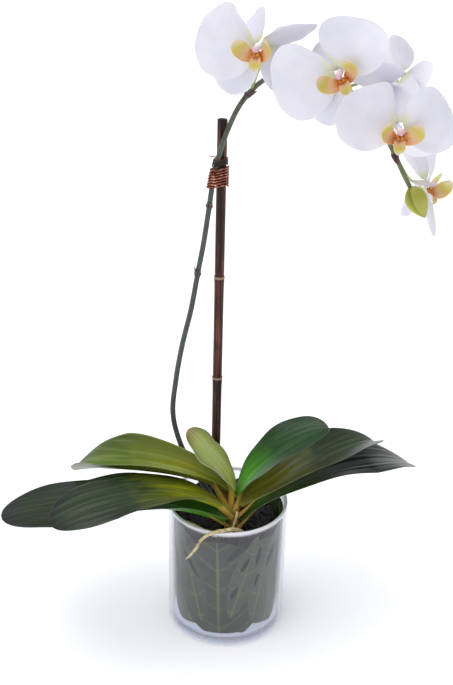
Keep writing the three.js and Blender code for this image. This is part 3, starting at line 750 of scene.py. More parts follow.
def rough_bark(name, dark, light):
    """Composted pine bark, chipped: near black, dry and matt, with browner broken edges."""
    material, tree = start_material("pine_bark_" + name)
    place = add(tree, "TexCoord").outputs["Object"]
    # Bark plates 5 mm across and grit 0.8 mm across.
    plates = add(tree, "TexNoise", {"Vector": place, "Scale": 1 / (5 * MM), "Detail": 5.0})
    grit = add(tree, "TexNoise", {"Vector": place, "Scale": 1 / (0.8 * MM), "Detail": 2.0})
    colour = add(tree, "ValToRGB", {0: plates}, stops={0.35: dark, 0.75: light})
    coarse = add(tree, "Bump", {"Strength": 0.8, "Distance": 1.2 * MM, "Height": plates})
    bump = add(tree, "Bump", {"Strength": 0.5, "Distance": 0.3 * MM, "Height": grit, "Normal": coarse})
    return finish_material(material, {"Base Color": colour, "Roughness": 0.85, "Normal": bump})


def lining_leaf(colours):
    """A tough evergreen leaf, fresh and leathery: grey-green, with a pale midrib and paler side veins."""
    material, tree = start_material("lining_leaf_leathery")
    size = add(tree, "Attribute", attribute_name="size").outputs["Vector"]
    _, ribs = marks(tree, "vein")
    mottle = add(tree, "TexNoise", {"Vector": size, "Scale": 1 / (9 * MM), "Detail": 4.0})
    fine = add(tree, "TexNoise", {"Vector": size, "Scale": 1 / (1.2 * MM), "Detail": 3.0})
    blade = add(tree, "ValToRGB", {0: mottle}, stops={0.3: "161D14", 0.52: colours.liner, 0.8: "47553A"})
    toned = add(tree, "Mix", {0: ribs["Z"], 6: blade, 7: "4C5A40"}, data_type="RGBA", blend_type="ADD")
    veined = add(tree, "Mix", {0: ribs["X"], 6: toned, 7: "8A9048"}, data_type="RGBA")
    edged = add(tree, "Mix", {0: ribs["Y"], 6: veined, 7: "7F8B6C"}, data_type="RGBA")
    bump = add(tree, "Bump", {"Strength": 0.4, "Distance": 0.3 * MM, "Height": fine})
    return finish_material(material, {"Base Color": edged, "Roughness": 0.45, "Normal": bump})


def root_velamen():
    """An aerial root's dry velamen, spongy and matt: straw-coloured with pale and brown flecks."""
    material, tree = start_material("root_velamen_dry")
    place = add(tree, "TexCoord").outputs["Object"]
    flecks = add(tree, "TexNoise", {"Vector": place, "Scale": 1 / (2.5 * MM), "Detail": 4.0})
    colour = add(tree, "ValToRGB", {0: flecks}, stops={0.32: "9C8455", 0.5: "D0BF8B", 0.75: "E6DDB8"})
    bump = add(tree, "Bump", {"Strength": 0.5, "Distance": 0.3 * MM, "Height": flecks})
    return finish_material(material, {"Base Color": colour, "Roughness": 0.65, "Normal": bump})


def light_table():
    """White acrylic sheet, extruded and lit from below: matt, and bright enough to keep shadows soft."""
    material, tree = start_material("white_acrylic_backlit")
    sheet = add(tree, "BsdfDiffuse", {"Color": four_numbers(0.95)})
    lit = add(tree, "Emission", {"Color": "F7F7FF", "Strength": 0.27})
    both = add(tree, "AddShader", {0: sheet, 1: lit})
    add(tree, "OutputMaterial", {"Surface": both})
    return material


# ---- Pieces: the pot and what fills it ----------------------------------------------------------------


class ORCHID_OT_glass(bpy.types.Operator):
    """Builds the clear glass cylinder with its thick floor and rounded rim"""

    bl_idname = "orchid.glass"
    bl_label = "Glass cylinder"

    def execute(self, context):
        sizes = context.scene.orchid_sizes
        low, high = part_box("glass_cylinder")
        radius, height = high.x, high.z
        inner = radius - sizes.glass_wall
        floor = low.z + sizes.glass_floor
        heel, foot, rim = 5 * MM, 3 * MM, sizes.glass_wall / 2
        quarter = np.linspace(0, math.pi / 2, 9)
        rounded_foot = [(radius - foot + foot * math.sin(a), foot - foot * math.cos(a)) for a in quarter]
        half = np.linspace(0, math.pi, 13)
        rounded_rim = [(radius - rim + rim * math.cos(a), height - rim + rim * math.sin(a)) for a in half]
        bend, rise = inner - heel, floor + heel
        inside_heel = [(bend + heel * math.cos(a), rise - heel * math.sin(a)) for a in quarter]
        below_rim = height - 5 * MM
        profile = [(0, 0), (radius * 0.5, 0), *rounded_foot, (radius, below_rim), *rounded_rim]
        profile += [(inner, below_rim), *inside_heel, (inner * 0.5, floor), (0, floor)]
        points, faces = turned_parts(profile, 160)
        # Share X marks the top 3 mm of the rim, which the glass paints white as a painted highlight.
        near_rim = np.clip((points[:, 2] - height + 3 * MM) / (1.2 * MM), 0, 1)
        share = np.stack([near_rim, near_rim * 0, near_rim * 0], -1)
        parts = points, faces, {"share": share}
        new_piece("clear_glass_cylinder", parts, pressed_glass(), "clear_glass", "glass_cylinder")
        return {"FINISHED"}


def lining_blade(leaf, shape, radius, thickness):
    """A leaf pressed against the glass: its points, faces and attributes, with its veins raised."""
    t, s = np.linspace(0, 1, 91), edge_spaced(61)
    half = leaf["width"] / 2 * outline(t, shape)
    tilt = math.radians(leaf["tilt"])
    across = half[:, None] * s[None, :]
    along = (t - 0.5)[:, None] * leaf["length"]
    around = math.cos(tilt) * across - math.sin(tilt) * along
    height = leaf["foot"] + leaf["length"] / 2 + along * math.cos(tilt) + math.sin(tilt) * across
    # Strong side veins leave the midrib every 24 mm and faint ones every 6 mm, curving towards the tip.
    climb = t[:, None] * leaf["length"] - 0.62 * np.abs(across) - 0.008 * across**2

    def veins(apart, half_wide, shift):
        return np.clip(1 - np.abs((climb / apart + shift) % 1 - 0.5) * apart / half_wide, 0, 1)

    strong, faint = veins(24, 1.1, 0.3), veins(6, 0.5, 0.5)
    side_vein = np.maximum(0.9 * strong, 0.3 * faint) * (np.abs(s)[None, :] < 0.93)
    rib = np.clip(1 - np.abs(across) / mix(1.3, 0.4, t)[:, None], 0, 1)
    ridge = 0.16 * side_vein + 0.24 * np.sqrt(rib)
    depth = radius - ridge * min(0.4, thickness)
    turn = math.radians(leaf["bearing"]) + around / radius
    surface = np.stack([depth * np.sin(turn), -depth * np.cos(turn), height], -1)
    shares = grid_shares(t, s)
    sizes = np.stack([across, shares[..., 1] * leaf["length"]], -1) * MM
    points, faces, attributes = sheet_parts(surface * MM, edge_thickness(t, s, thickness) * MM, shares, sizes)
    edge = np.clip((np.abs(s) - 0.95) / 0.05, 0, 1)[None, :] * np.ones_like(across)
    colour = np.stack([np.clip(side_vein + rib, 0, 1), 0.5 * edge, edge * 0 + leaf["tone"]], -1)
    attributes["vein"] = np.vstack([colour.reshape(-1, 3), colour[1:-1, 1:-1].reshape(-1, 3)])
    return points, faces, attributes


class ORCHID_OT_lining(bpy.types.Operator):
    """Builds the broad leaves that line the glass, each with a midrib and side veins"""

    bl_idname = "orchid.lining"
    bl_label = "Lining leaves"

    def execute(self, context):
        material = lining_leaf(context.scene.orchid_colours)
        for i, leaf in enumerate(LINERS):
            radius = 56 - leaf["layer"] * 1.5
            node = f"liner_leaf_{i + 1}"
            parts = lining_blade(leaf, LINER_OUTLINE, radius, 0.55)
            new_piece(node + "_veined", parts, material, "liner_leaf", node)
        slips = [lining_blade(leaf, SLIP_OUTLINE, leaf["radius"], 0.16) for leaf in SLIPS]
        new_piece("liner_slips_veined", joined(slips), material, "liner_leaf")
        # Painted shade: these dark strips stand for the gaps and creases between the lining leaves, where
        # bark and shade show.
        shreds = [lining_blade(leaf, SLIP_OUTLINE, leaf["radius"], 0.08) for leaf in SHREDS]
        new_piece("bark_and_shade_strips", joined(shreds), rough_bark("shreds", "07080A", "1C1B22"), "bark")
        return {"FINISHED"}


class ORCHID_OT_bark(bpy.types.Operator):
    """Builds the bark: a packed bed with loose chips heaped on top"""

    bl_idname = "orchid.bark"
    bl_label = "Bark"

    def execute(self, context):
        self.packed_bed()
        self.loose_chips(context.scene.orchid_sizes)
        return {"FINISHED"}

    def packed_bed(self):
        low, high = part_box("bark_bed")
        radius = high.x - 0.6 * MM
        top = high.z - 10 * MM
        rows = [(0, low.z), (radius * 0.9, low.z)]
        rows += [(radius, mix(low.z + 5 * MM, top, k / 40)) for k in range(41)]
        rows += [(radius * (1 - k / 14), top) for k in range(1, 14)] + [(0, top)]
        points, faces = turned_parts(rows, 120)
        side = np.linalg.norm(points[:, :2], axis=1)
        lumps = waves(points, 14 * MM, 3) * 1.3 * MM + waves(points, 5 * MM, 4) * 0.6 * MM
        is_top = points[:, 2] > top - 1e-6
        points[is_top, 2] += lumps[is_top] * 1.6
        inward = np.where(is_top, 0, np.clip(lumps, -3 * MM, 0))
        points[:, :2] *= (1 + inward / np.maximum(side, 1 * MM))[:, None]
        material = rough_bark("packed", "0D0A0A", "241D1B")
        new_piece("bark_packed_bed", (points, faces), material, "bark", "bark_bed")

    def loose_chips(self, sizes):
        rng = np.random.default_rng(11)
        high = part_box("bark_bed")[1]
        crown = upright("crown")[2]
        reach = high.x - 5 * MM
        parts = []
        for k in range(sizes.chip_count):
            out = reach * math.sqrt((k + 0.5) / sizes.chip_count)
            centre = np.array([out * math.cos(k * GOLDEN_TURN), out * math.sin(k * GOLDEN_TURN), 0.0])
            if np.linalg.norm(centre[:2] - crown) < 11 * MM:
                continue
            heap = 7 * MM * max(0.0, 1 - np.linalg.norm(centre[:2] - crown) / high.x)
            centre[2] = high.z - 9.5 * MM + heap * 0.7 + rng.uniform(-2, 2) * MM
            parts.append(self.chip(centre, sizes.chip_length, rng))
        new_piece("bark_loose_chips", joined(parts), rough_bark("chips", "0F0C0C", "33292A"), "bark")

    def chip(self, centre, length, rng):
        """One broken chip: a slab with uneven sides and blunt corners."""
        size = length * np.array([rng.uniform(0.6, 1.1), rng.uniform(0.4, 0.75), rng.uniform(0.22, 0.4)])
        steps = 4
        turn = np.linspace(0, 2 * math.pi, 10, endpoint=False)
        rows = []
        for level in np.linspace(-1, 1, steps):
            spread = 1 - 0.16 * abs(level) ** 3
            corner = (np.abs(np.cos(turn)) ** 4 + np.abs(np.sin(turn)) ** 4) ** -0.25
            jag = corner * spread * rng.uniform(0.82, 1.08, len(turn))
            rows.append(np.stack([jag * np.cos(turn), jag * np.sin(turn), np.full(len(turn), level)], -1) / 2)
        rows = np.array(rows) * size
        axis = Vector(rng.normal(size=3)).normalized()
        lean = Matrix.Rotation(rng.uniform(-0.7, 0.7), 3, axis) @ Matrix.Rotation(rng.uniform(0, 6.3), 3, "Z")
        body = rows.reshape(-1, 3)
        points = np.vstack([body, rows[0].mean(0), rows[-1].mean(0)]) @ np.array(lean).T + centre
        return points, closed_faces(steps, len(turn)), {}


# ---- Pieces: the plant --------------------------------------------------------------------------------

LEAF_COLOURS = {
    # Foot, blade, painted sheen of the streaks and the margin, and tip.
    "leaf_right_low": ("5F9418", "16260A", "48553F", "3A403A"),
    "leaf_right_mid": ("A09A22", "22360C", "54624A", "3B443A"),
    "leaf_right_top": ("4F9A1C", "14400C", "446A38", "1C3517"),
    "leaf_young": ("B6B850", "A9BA58", "CBD2A2", "937E46"),
    "leaf_left_top": ("9A9F24", "5C741C", "9CAA62", "1C2218"),
    "leaf_left_mid": ("9AA01E", "1E3210", "475639", "1A211E"),
    "leaf_left_low": ("55A01A", "1A2E0E", "445140", "1B231C"),
}


class ORCHID_OT_leaves(bpy.types.Operator):
    """Builds the strap leaves with their pleats, each clasping the crown at its foot"""

    bl_idname = "orchid.leaves"
    bl_label = "Leaves"

    def execute(self, context):
        sizes = context.scene.orchid_sizes
        s = edge_spaced(57)
        for i, (name, spec) in enumerate(LEAVES.items()):
            blade = LEAF | spec
            behind = np.linspace(-0.02, 0, 4, endpoint=False)
            t = np.concatenate([behind, 1 - (1 - np.linspace(0, 1, 121)) ** 1.15])
            surface, shares, real = blade_surface(blade, t, s)
            surface = surface * MM
            normals = grid_normals(surface)
            body = np.clip(t / 0.15, 0, 1) * np.clip((1 - t) / 0.2, 0, 1)
            # Long pleats 3 to 8 mm apart, which wander a little along the leaf.
            lane = s[None, :] * (8 + 0.5 * np.sin(t * 5 + i)[:, None])
            pleats = np.sin(lane * 2.3 + i) + np.sin(lane * 3.7 + 2 * i) + 0.6 * np.sin(lane * 6.1)
            pleats *= 0.5 * (1 - np.abs(s) ** 4)
            wavy = np.sin(t * 17 + i * 2.1)[:, None] * np.abs(s)[None, :] ** 6
            surface += normals * (pleats * body[:, None] * sizes.pleat_depth)[..., None]
            surface += normals * (wavy * body[:, None] * 0.9 * MM)[..., None]
            keel = 1 + 0.5 * np.exp(-((s / 0.08) ** 2))
            thick = edge_thickness(t, s, sizes.leaf_thickness) * keel[None, :]
            parts = sheet_parts(surface, thick, shares, real)
            slot = "young_leaf" if name == "leaf_young" else "leaf"
            new_piece(name + "_pleated", parts, living_leaf(name, *LEAF_COLOURS[name]), slot, name)
        return {"FINISHED"}


class ORCHID_OT_crown(bpy.types.Operator):
    """Builds the crown, the short stem wrapped in old leaf bases"""

    bl_idname = "orchid.crown"
    bl_label = "Crown"

    def execute(self, context):
        low, high, centre = upright("crown")
        width = (high.x - low.x) / 2
        rows = np.linspace(0, 1, 80)
        shape = np.interp(rows, [0, 0.2, 0.42, 0.6, 0.78, 1], [0.74, 1, 1, 0.86, 0.65, 0.32])
        rings = width * shape * (0.96 + 0.05 * np.abs(np.sin(rows * math.pi * 7)))
        profile = [(0, low.z)] + list(zip(rings, mix(low.z, high.z, rows))) + [(0, high.z)]
        points, faces = turned_parts(profile, 72)
        turn = np.arctan2(points[:, 1], points[:, 0])
        ribs = 1 + 0.02 * np.sin(turn * 13 + points[:, 2] / MM * 0.15)
        points[:, :2] *= ribs[:, None]
        share = np.stack([turn * 0, (points[:, 2] - low.z) / (high.z - low.z), turn * 0], -1)
        points[:, :2] += centre
        material = stalk_tissue("crown", "96762E", "B89C36", 0.5)
        new_piece("crown_sheathed", (points, faces, {"share": share}), material, "crown", "crown")
        return {"FINISHED"}


# How wide each leaf's sheath is where it clasps the crown, and how far down it reaches, in millimetres.
SHEATHS = {
    "leaf_right_low": (9.4, 8),
    "leaf_right_mid": (8.6, 14),
    "leaf_right_top": (7.4, 17),
    "leaf_young": (6.0, 15),
    "leaf_left_top": (7.0, 19),
    "leaf_left_mid": (8.3, 13),
    "leaf_left_low": (9.0, 9),
}


class ORCHID_OT_sheaths(bpy.types.Operator):
    """Builds the sheath below each leaf, which clasps the crown"""

    bl_idname = "orchid.sheaths"
    bl_label = "Leaf sheaths"

    def execute(self, context):
        middle = upright("crown")[2] / MM
        s = np.linspace(-1, 1, 33)
        rise = np.linspace(0, 1, 21)
        parts = []
        for name, (radius, reach) in SHEATHS.items():
            blade = LEAF | LEAVES[name]
            foot = blade_surface(blade, np.array([0.0, 0.07]), s)[0][1]
            turn = math.radians(blade["heading"]) + s * math.radians(122)
            clasp = middle + radius * np.stack([np.cos(turn), np.sin(turn)], -1)
            ring = np.column_stack([clasp, np.full(len(s), blade["at"][2] - reach)])
            ease = (rise**2 * (3 - 2 * rise))[:, None, None]
            surface = mix(ring[None], foot[None], ease)
            shares = grid_shares(rise, s)
            thick = np.full(shares.shape[:2], 0.45 * MM)
            parts.append(sheet_parts(surface * MM, thick, shares, shares * 20 * MM))
        new_piece("crown_sheaths_clasping", joined(parts), sheath_tissue(), "crown")
        return {"FINISHED"}


class ORCHID_OT_roots(bpy.types.Operator):
    """Builds the three roots that show above the bark"""

    bl_idname = "orchid.roots"
    bl_label = "Roots"

    def execute(self, context):
        material = root_velamen()
        for i, (name, root) in enumerate(ROOTS.items()):
            line = catmull_rom(root["line"], 90)
            t = np.linspace(0, 1, len(line))
            radius = mix(*root["radius"], t) * (1 + 0.07 * waves(line, 9, 20 + i))
            radius[-6:] *= np.sqrt(np.linspace(1, 0.1, 6))
            new_piece(name + "_velamen", tube_parts(line * MM, radius * MM, 14), material, "root", name)
        return {"FINISHED"}


def spike_scale(at, along, outward, length):
    """A papery scale at a node of the spike: a ring with one side drawn up to a point."""
    turn = np.linspace(0, 2 * math.pi, 29)
    side = np.cross(along, outward)
    level = np.linspace(0, 1, 9)
    reach = (0.25 + 0.75 * np.clip(np.cos(turn), 0, 1) ** 3) * length
    flare = 1.16 + 0.1 * level[:, None] + 0.5 * (level[:, None] ** 2) * np.clip(np.cos(turn), 0, 1) ** 2
    ring = outward * np.cos(turn)[:, None] + side * np.sin(turn)[:, None]
    return at + along * (level[:, None] * reach - 1.2)[..., None] + ring[None] * (flare * 2.5)[..., None]


class ORCHID_OT_spike(bpy.types.Operator):
    """Builds the flower spike with a swelling and a dry scale at each node"""

    bl_idname = "orchid.spike"
    bl_label = "Flower spike"

    def execute(self, context):
        colours = context.scene.orchid_colours
        line = spike_line()
        t = np.linspace(0, 1, len(line))
        radius = mix(*SPIKE_RADIUS, t)
        places = [int(np.argmin(np.linalg.norm(line - np.array(at), axis=1))) for at, _, _ in SPIKE_NODES]
        for i in places:
            radius = radius + 0.5 * np.exp(-(((t - t[i]) / 0.004) ** 2))
        material = stalk_tissue("spike", colours.spike, "6E7A4A")
        parts = tube_parts(line * MM, radius * MM, 18)
        new_piece("flower_spike_grown", parts, material, "spike", "flower_spike")
        scales = []
        for i, (_, towards, length) in zip(places, SPIKE_NODES):
            along = unit(line[i + 1] - line[i - 1])
            outward = np.array(towards, float)
            outward = unit(outward - along * (outward @ along))
            grid = spike_scale(line[i], along, outward, length)
            shares = grid_shares(np.linspace(0, 1, len(grid)), np.linspace(-1, 1, len(grid[0])))
            scales.append(sheet_parts(grid * MM, np.full(grid.shape[:2], 0.2 * MM), shares, shares * MM))
        dry = stalk_tissue("scales", "4A3434", "7A5A50", 0.6)
        new_piece("flower_spike_scales", joined(scales), dry, "spike")
        return {"FINISHED"}


class ORCHID_OT_bud(bpy.types.Operator):
    """Builds the closed bud, three sepals folded edge to edge"""

    bl_idname = "orchid.bud"
    bl_label = "Bud"

    def execute(self, context):
        line = spike_line()
        onward = unit(line[-1] - line[-4])
        length, widest = 33, 10.4
        rows = np.linspace(0, 1, 60)
        ring = widest * np.sin(np.pi * rows**0.82) ** 0.8 * (1 - 0.12 * rows)
        profile = [(0, 0)] + list(zip(ring[1:-1], length * rows[1:-1])) + [(0, length)]
        points, faces = turned_parts(profile, 72)
        turn = np.arctan2(points[:, 1], points[:, 0])
        seam = np.exp(-((((turn / (2 * math.pi) * 3) % 1) - 0.5) / 0.035) ** 2)
        points[:, :2] *= (1 - 0.07 * seam)[:, None]
        points[:, 1] *= 0.82
        share = np.stack([turn, points[:, 2] / length, turn * 0], -1)
        spin = Vector((0, 0, 1)).rotation_difference(Vector(onward)).to_matrix()
        points = points @ np.array(spin).T + line[-1] + onward * 0.35
        parts = points * MM, faces, {"share": share, "size": share * length * MM}
        material = living_leaf("bud", "9AA02A", "B9BD34", "CFCF62", "6F7A34", 0.4)
        new_piece("bud_closed", parts, material, "bud", "bud")
        return {"FINISHED"}


# ---- Pieces: the cane and its ties --------------------------------------------------------------------


class ORCHID_OT_cane(bpy.types.Operator):
    """Builds the bamboo cane with its nodes"""

    bl_idname = "orchid.cane"
    bl_label = "Bamboo cane"

    def execute(self, context):
        low, high, centre = upright("bamboo_stake")
        radius = CANE_RADIUS * MM
        nodes = np.array([158, 272.5, 376]) * MM
        heights = np.linspace(low.z, high.z - 0.6 * MM, 700)
        swell = np.zeros_like(heights)
        for node in nodes:
            above = np.clip((heights - node) / (1.6 * MM), 0, None)
            below = np.clip((node - heights) / (5 * MM), 0, None)
            pinch = (heights - node - 2.4 * MM) / (0.8 * MM)
            swell += 0.62 * MM * np.exp(-(above**2) - below) - 0.25 * MM * np.exp(-(pinch**2))
        profile = [(0, low.z)] + list(zip(radius + swell, heights))
        profile += [(radius - 0.5 * MM, high.z), (radius * 0.5, high.z - 0.8 * MM), (0, high.z - 1.2 * MM)]
        points, faces = turned_parts(profile, 64)
        # Each internode has a shallow groove, on the front and on the back by turns.
        turn = np.arctan2(points[:, 1], points[:, 0])
        front = np.searchsorted(nodes, points[:, 2]) % 2 == 1
        away = np.abs((turn - np.where(front, -1.45, 1.7) + math.pi) % (2 * math.pi) - math.pi)
        clear = np.min(np.abs(points[:, 2][:, None] - nodes), axis=1) / (9 * MM)
        groove = np.exp(-((away / 0.34) ** 2)) * np.clip(clear - 0.3, 0, 1)
        points[:, :2] *= (1 - 0.16 * groove)[:, None]
        ring = np.clip(1 - clear * 4, 0, 1)
        points[:, :2] += centre
        # Share X carries the groove, which the material paints near black as painted shade, and share Y the
        # node rings.
        share = np.stack([groove, ring, groove * 0], -1)
        material = varnished_bamboo(context.scene.orchid_colours)
        parts = points, faces, {"share": share}
        new_piece("bamboo_cane_varnished", parts, material, "bamboo", "bamboo_stake")
        return {"FINISHED"}


def wound_line(start, turns, pitch, clear):
    """The line of a wire wound upwards from a height round the cane and the spike together."""
    cane = upright("bamboo_stake")[2] / MM
    # The first points of the spike, before it arches over, and the points in one turn of the wire.
    rising, in_turn = spike_line()[:270], 24
    points = []
    for i in range(int(turns * in_turn) + 1):
        z = start + pitch * i / in_turn
        angle = 2 * math.pi * i / in_turn
        out = np.array([math.cos(angle), math.sin(angle)])
        spike = rising[np.argmin(np.abs(rising[:, 2] - z))][:2]
        held = [(cane, CANE_RADIUS), (spike, SPIKE_RADIUS[0])]
        centre, radius = max(held, key=lambda thing: thing[0] @ out + thing[1])
        points.append((*(centre + out * (radius + clear)), z))
    return points


class ORCHID_OT_binding(bpy.types.Operator):
    """Builds the copper wire binding, the finer wire above it and its twisted ends"""

    bl_idname = "orchid.binding"
    bl_label = "Binding"

    def execute(self, context):
        metal = drawn_copper(context.scene.orchid_colours)
        coil = catmull_rom(wound_line(start=462.3, turns=7, pitch=2.5, clear=1.45), 700)
        parts = tube_parts(coil * MM, 0.88 * MM, 12)
        new_piece("wire_binding_wound", parts, metal, "copper_wire", "wire_binding")
        # A few tight turns of finer dark wire above it.
        fine = catmull_rom(wound_line(start=481.5, turns=4, pitch=1.6, clear=0.9), 400)
        dark = stalk_tissue("florist_tape", "2A1712", "3A2019", 0.6)
        new_piece("wire_binding_fine", tube_parts(fine * MM, 0.5 * MM, 8), dark, "copper_wire")
        # Its two copper ends, twisted together and bowed forwards in front of the cane.
        ends = []
        reach, twist, bow = np.linspace(0, 1, 120), 0.7, 1.6
        for start in (0, math.pi):
            turn = reach * 5 * math.pi + start
            x = -19.5 + 9 * (reach - 0.45) + twist * np.cos(turn)
            y = -6.6 - bow * reach * (1 - reach) * 4 + twist * np.sin(turn)
            z = 492 + 2.2 * np.sin(reach * 3.1) - 3 * reach
            ends.append(tube_parts(np.stack([x, y, z], -1) * MM, 0.32 * MM, 8))
        new_piece("wire_binding_ends", joined(ends), metal, "copper_wire")
        return {"FINISHED"}


# ---- Pieces: the flowers ------------------------------------------------------------------------------


def flower_frame(spec):
    """A flower's middle, and the matrix whose columns are its right, its top and the way that it faces."""
    azimuth, elevation = (math.radians(a) for a in spec["faces"])
    level = math.cos(elevation)
    out = Vector((math.sin(azimuth) * level, -math.cos(azimuth) * level, math.sin(elevation)))
    spin = Matrix.Rotation(math.radians(spec["spin"]), 3, out)
    right = spin @ Vector((math.cos(azimuth), math.sin(azimuth), 0))
    return np.array(spec["at"], float), np.array([right, out.cross(right), out]).T


def flower_blade(part, change):
    """A petal or sepal in its flower's frame, in millimetres."""
    blade = {**part, **change}
    along = math.radians(blade["heading"])
    blade["at"] = (blade["start"] * math.cos(along), blade["start"] * math.sin(along), -blade["back"])
    blade["roll"] = (blade["roll"], blade["roll"])
    return blade


class ORCHID_OT_petals(bpy.types.Operator):
    """Builds the petals and sepals of every flower"""

    bl_idname = "orchid.petals"
    bl_label = "Petals and sepals"

    def execute(self, context):
        sizes = context.scene.orchid_sizes
        material = petal_tissue(context.scene.orchid_colours)
        seed = 40
        for name, spec in FLOWERS.items():
            middle, turn = flower_frame(spec)
            for part, usual in FLOWER_PARTS.items():
                seed += 1
                blade = flower_blade(usual, spec.get(part, {}))
                t = 1 - (1 - np.linspace(0, 1, 61)) ** 1.25
                s = edge_spaced(49)
                surface, shares, real = blade_surface(blade, t, s)
                normals = grid_normals(surface)
                # A broad part's edge is ruffled in longer and deeper waves, and its blade is more dished.
                broad = blade["width"] > 38
                wavelength, ruffle_depth, dish_depth = (17, 0.9, 0.8) if broad else (13, 0.6, 0.4)
                past_foot = np.clip(t / 0.3, 0, 1)[:, None]
                edge = np.abs(s)[None, :] ** 3 * past_foot
                ruffle = waves(surface, wavelength, seed) * edge * ruffle_depth
                dish = waves(surface, 40, seed + 100) * dish_depth * past_foot
                groove = -0.5 * np.exp(-((s / 0.07) ** 2))[None, :] * np.clip(1 - t, 0, 1)[:, None]
                surface = surface + normals * (ruffle + dish + groove)[..., None]
                surface = surface @ turn.T + middle
                thick = edge_thickness(t, s, sizes.petal_thickness)
                node = f"{name}_{part}"
                parts = sheet_parts(surface * MM, thick, shares, real)
                new_piece(node + "_fresh", parts, material, "petal", node)
        return {"FINISHED"}


def lip_parts():
    """A lip in its flower's frame: two side lobes cupped round the column, a front lobe and the callus."""
    parts = []
    t, s = np.linspace(0, 1, 33), edge_spaced(25)
    for side in (1, -1):
        lobe = dict(
            at=(side * 2, -6.4, 4.4), length=25, width=14, heading=-4 if side > 0 else 184, sweep=side * 128,
            lift=22, droop=30, bend=1, roll=(side * -20, side * -50), fold=(16, 10), base=0.5, widest=0.62,
            root=0.8, end=2.2, round=0.62, tip=0.03, crease=2,
        )
        surface, shares, real = blade_surface(lobe, t, s)
        parts.append(sheet_parts(surface * MM, edge_thickness(t, s, 1.1 * MM), shares, real))
    front = dict(
        at=(0, -6.2, 4), length=14, width=11, heading=270, sweep=0, lift=56, droop=0, bend=1, roll=(0, 0),
        fold=(30, 24), base=0.5, widest=0.5, root=1, end=2.2, round=1, tip=0.12, crease=1.4,
    )
    surface, shares, real = blade_surface(front, t, s)
    parts.append(sheet_parts(surface * MM, edge_thickness(t, s, 1.3 * MM), shares, real))
    claw = catmull_rom([(0, -5.2, 0.6), (0, -6, 3), (0, -6.4, 6.5)], 16)
    parts.append(heart_tube(claw, mix(1.6, 3, np.linspace(0, 1, 16)), 16, 0.2))
    for side in (1, -1):
        # The callus is two ridges side by side.
        ridge = catmull_rom([(side * 1.3, -6.4, 5.0), (side * 1.5, -4.6, 8.6), (side * 1.1, -3.4, 9.4)], 14)
        swell = np.sin(np.linspace(0.25, math.pi - 0.1, 14)) * 1.5
        parts.append(heart_tube(ridge, swell, 14, 0.1))
    return joined(parts)


def heart_tube(line, radius, sides, reach):
    """A tube in the lip's heart, coloured like the first part of a lobe, as far along it as reach says."""
    points, faces, attributes = tube_parts(line * MM, radius * MM, sides)
    share = attributes["share"] * [1, reach, 1]
    return points, faces, {"share": share, "size": share * 0}


class ORCHID_OT_lips(bpy.types.Operator):
    """Builds the lip of every flower"""

    bl_idname = "orchid.lips"
    bl_label = "Lips"

    def execute(self, context):
        material = lip_tissue(context.scene.orchid_colours)
        points, faces, attributes = lip_parts()
        for name, spec in FLOWERS.items():
            middle, turn = flower_frame(spec)
            parts = points @ turn.T + middle * MM, faces, attributes
            new_piece(name + "_lip_waxy", parts, material, "lip", name + "_lip")
        return {"FINISHED"}


class ORCHID_OT_columns(bpy.types.Operator):
    """Builds each flower's column and the stalk that carries it from the spike"""

    bl_idname = "orchid.columns"
    bl_label = "Columns and stalks"

    def execute(self, context):
        material = column_tissue()
        spike = spike_line()
        for name, spec in FLOWERS.items():
            middle, turn = flower_frame(spec)
            root = spike[int(round(spec["stem"] * (len(spike) - 1)))]
            ends = np.array([(0, 0, -COLUMN["behind"]), (0, 0, -4), (0, 0, 3), (0, -0.8, COLUMN["length"])])
            line = catmull_rom(np.vstack([root, ends @ turn.T + middle]), 110)
            reach = np.linalg.norm(np.diff(line, axis=0), axis=1).sum()
            to_tip = (1 - np.linspace(0, 1, len(line))) * reach
            neck = np.clip((to_tip - COLUMN["length"] - 4) / 12, 0, 1)
            radius = mix(COLUMN["radius"], COLUMN["stalk"], neck)
            waist = 0.86 + 0.18 * np.sin(to_tip / COLUMN["length"] * 5)
            radius *= np.where(to_tip < COLUMN["length"], waist, 1)
            radius *= np.sqrt(np.clip(to_tip / 1.6 + 0.05, 0, 1))
            parts = tube_parts(line * MM, radius * MM, 18)
            new_piece(name + "_column_grown", parts, material, "column", name + "_column")
        return {"FINISHED"}


# ---- The stage ----------------------------------------------------------------------------------------


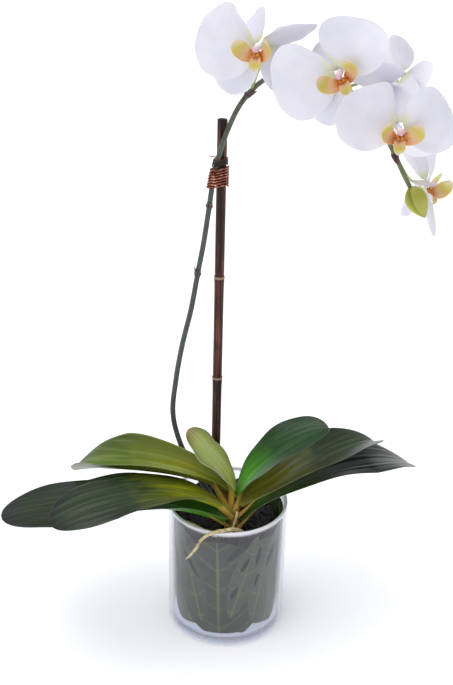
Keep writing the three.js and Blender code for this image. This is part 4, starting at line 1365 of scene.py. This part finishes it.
class ORCHID_OT_stage(bpy.types.Operator):
    """Sets the pale floor, the soft studio light and the camera"""

    bl_idname = "orchid.stage"
    bl_label = "Stage"

    def execute(self, context):
        self.floor()
        self.light(context.scene)
        self.camera(context.scene)
        return {"FINISHED"}

    def floor(self):
        reach = 12.0
        corners = [(-reach, -reach, 0), (reach, -reach, 0), (reach, reach, 0), (-reach, reach, 0)]
        floor = new_object("studio_floor", corners, [(0, 1, 2, 3)])
        floor.data.materials.append(light_table())

    def light(self, scene):
        world = bpy.data.worlds.new("studio_light")
        world.use_nodes = True
        background = world.node_tree.nodes["Background"]
        background.inputs["Color"].default_value = linear("F4F5FF")
        background.inputs["Strength"].default_value = 0.45
        scene.world = world
        # A broad overhead light, far enough away to light the whole floor evenly.
        lamp = bpy.data.lights.new("overhead_softbox", "SUN")
        lamp.energy = 2.1
        lamp.angle = math.radians(70)
        holder = bpy.data.objects.new("overhead_softbox", lamp)
        holder.rotation_euler = Vector((0.3, 0.1, -1)).to_track_quat("-Z", "Y").to_euler()
        scene.collection.objects.link(holder)
        scene.view_settings.view_transform = "Standard"

    def camera(self, scene):
        camera = bpy.data.cameras.new("camera")
        camera.sensor_width = 36
        camera.lens = 53.58
        holder = bpy.data.objects.new("camera", camera)
        tilt = Matrix.Rotation(math.radians(90 - 25.8), 4, "X") @ Matrix.Rotation(math.radians(1.4), 4, "Z")
        holder.matrix_world = Matrix.Translation((-0.0055, -0.8566, 0.7278)) @ tilt
        scene.collection.objects.link(holder)
        scene.camera = holder


PIECES = [
    ORCHID_OT_glass,
    ORCHID_OT_lining,
    ORCHID_OT_bark,
    ORCHID_OT_crown,
    ORCHID_OT_sheaths,
    ORCHID_OT_leaves,
    ORCHID_OT_roots,
    ORCHID_OT_spike,
    ORCHID_OT_bud,
    ORCHID_OT_cane,
    ORCHID_OT_binding,
    ORCHID_OT_petals,
    ORCHID_OT_lips,
    ORCHID_OT_columns,
    ORCHID_OT_stage,
]


class ORCHID_PT_pieces(bpy.types.Panel):
    """Lists the orchid's pieces, its sizes and its colours"""

    bl_idname = "ORCHID_PT_pieces"
    bl_label = "Potted moth orchid"
    bl_space_type = "VIEW_3D"
    bl_region_type = "UI"
    bl_category = "Orchid"

    def draw(self, context):
        layout = self.layout
        for group in (context.scene.orchid_sizes, context.scene.orchid_colours):
            box = layout.box()
            for key in group.bl_rna.properties.keys():
                if key not in ("rna_type", "name"):
                    box.prop(group, key)
        for piece in PIECES:
            layout.operator(piece.bl_idname)


CLASSES = [OrchidSizes, OrchidColours, *PIECES, ORCHID_PT_pieces]


def register():
    for cls in CLASSES:
        bpy.utils.register_class(cls)
    bpy.types.Scene.orchid_sizes = bpy.props.PointerProperty(type=OrchidSizes)
    bpy.types.Scene.orchid_colours = bpy.props.PointerProperty(type=OrchidColours)


def unregister():
    del bpy.types.Scene.orchid_colours
    del bpy.types.Scene.orchid_sizes
    for cls in reversed(CLASSES):
        bpy.utils.unregister_class(cls)


def main():
    register()
    for piece in PIECES:
        group, name = piece.bl_idname.split(".")
        getattr(getattr(bpy.ops, group), name)()


if __name__ == "__main__":
    main()
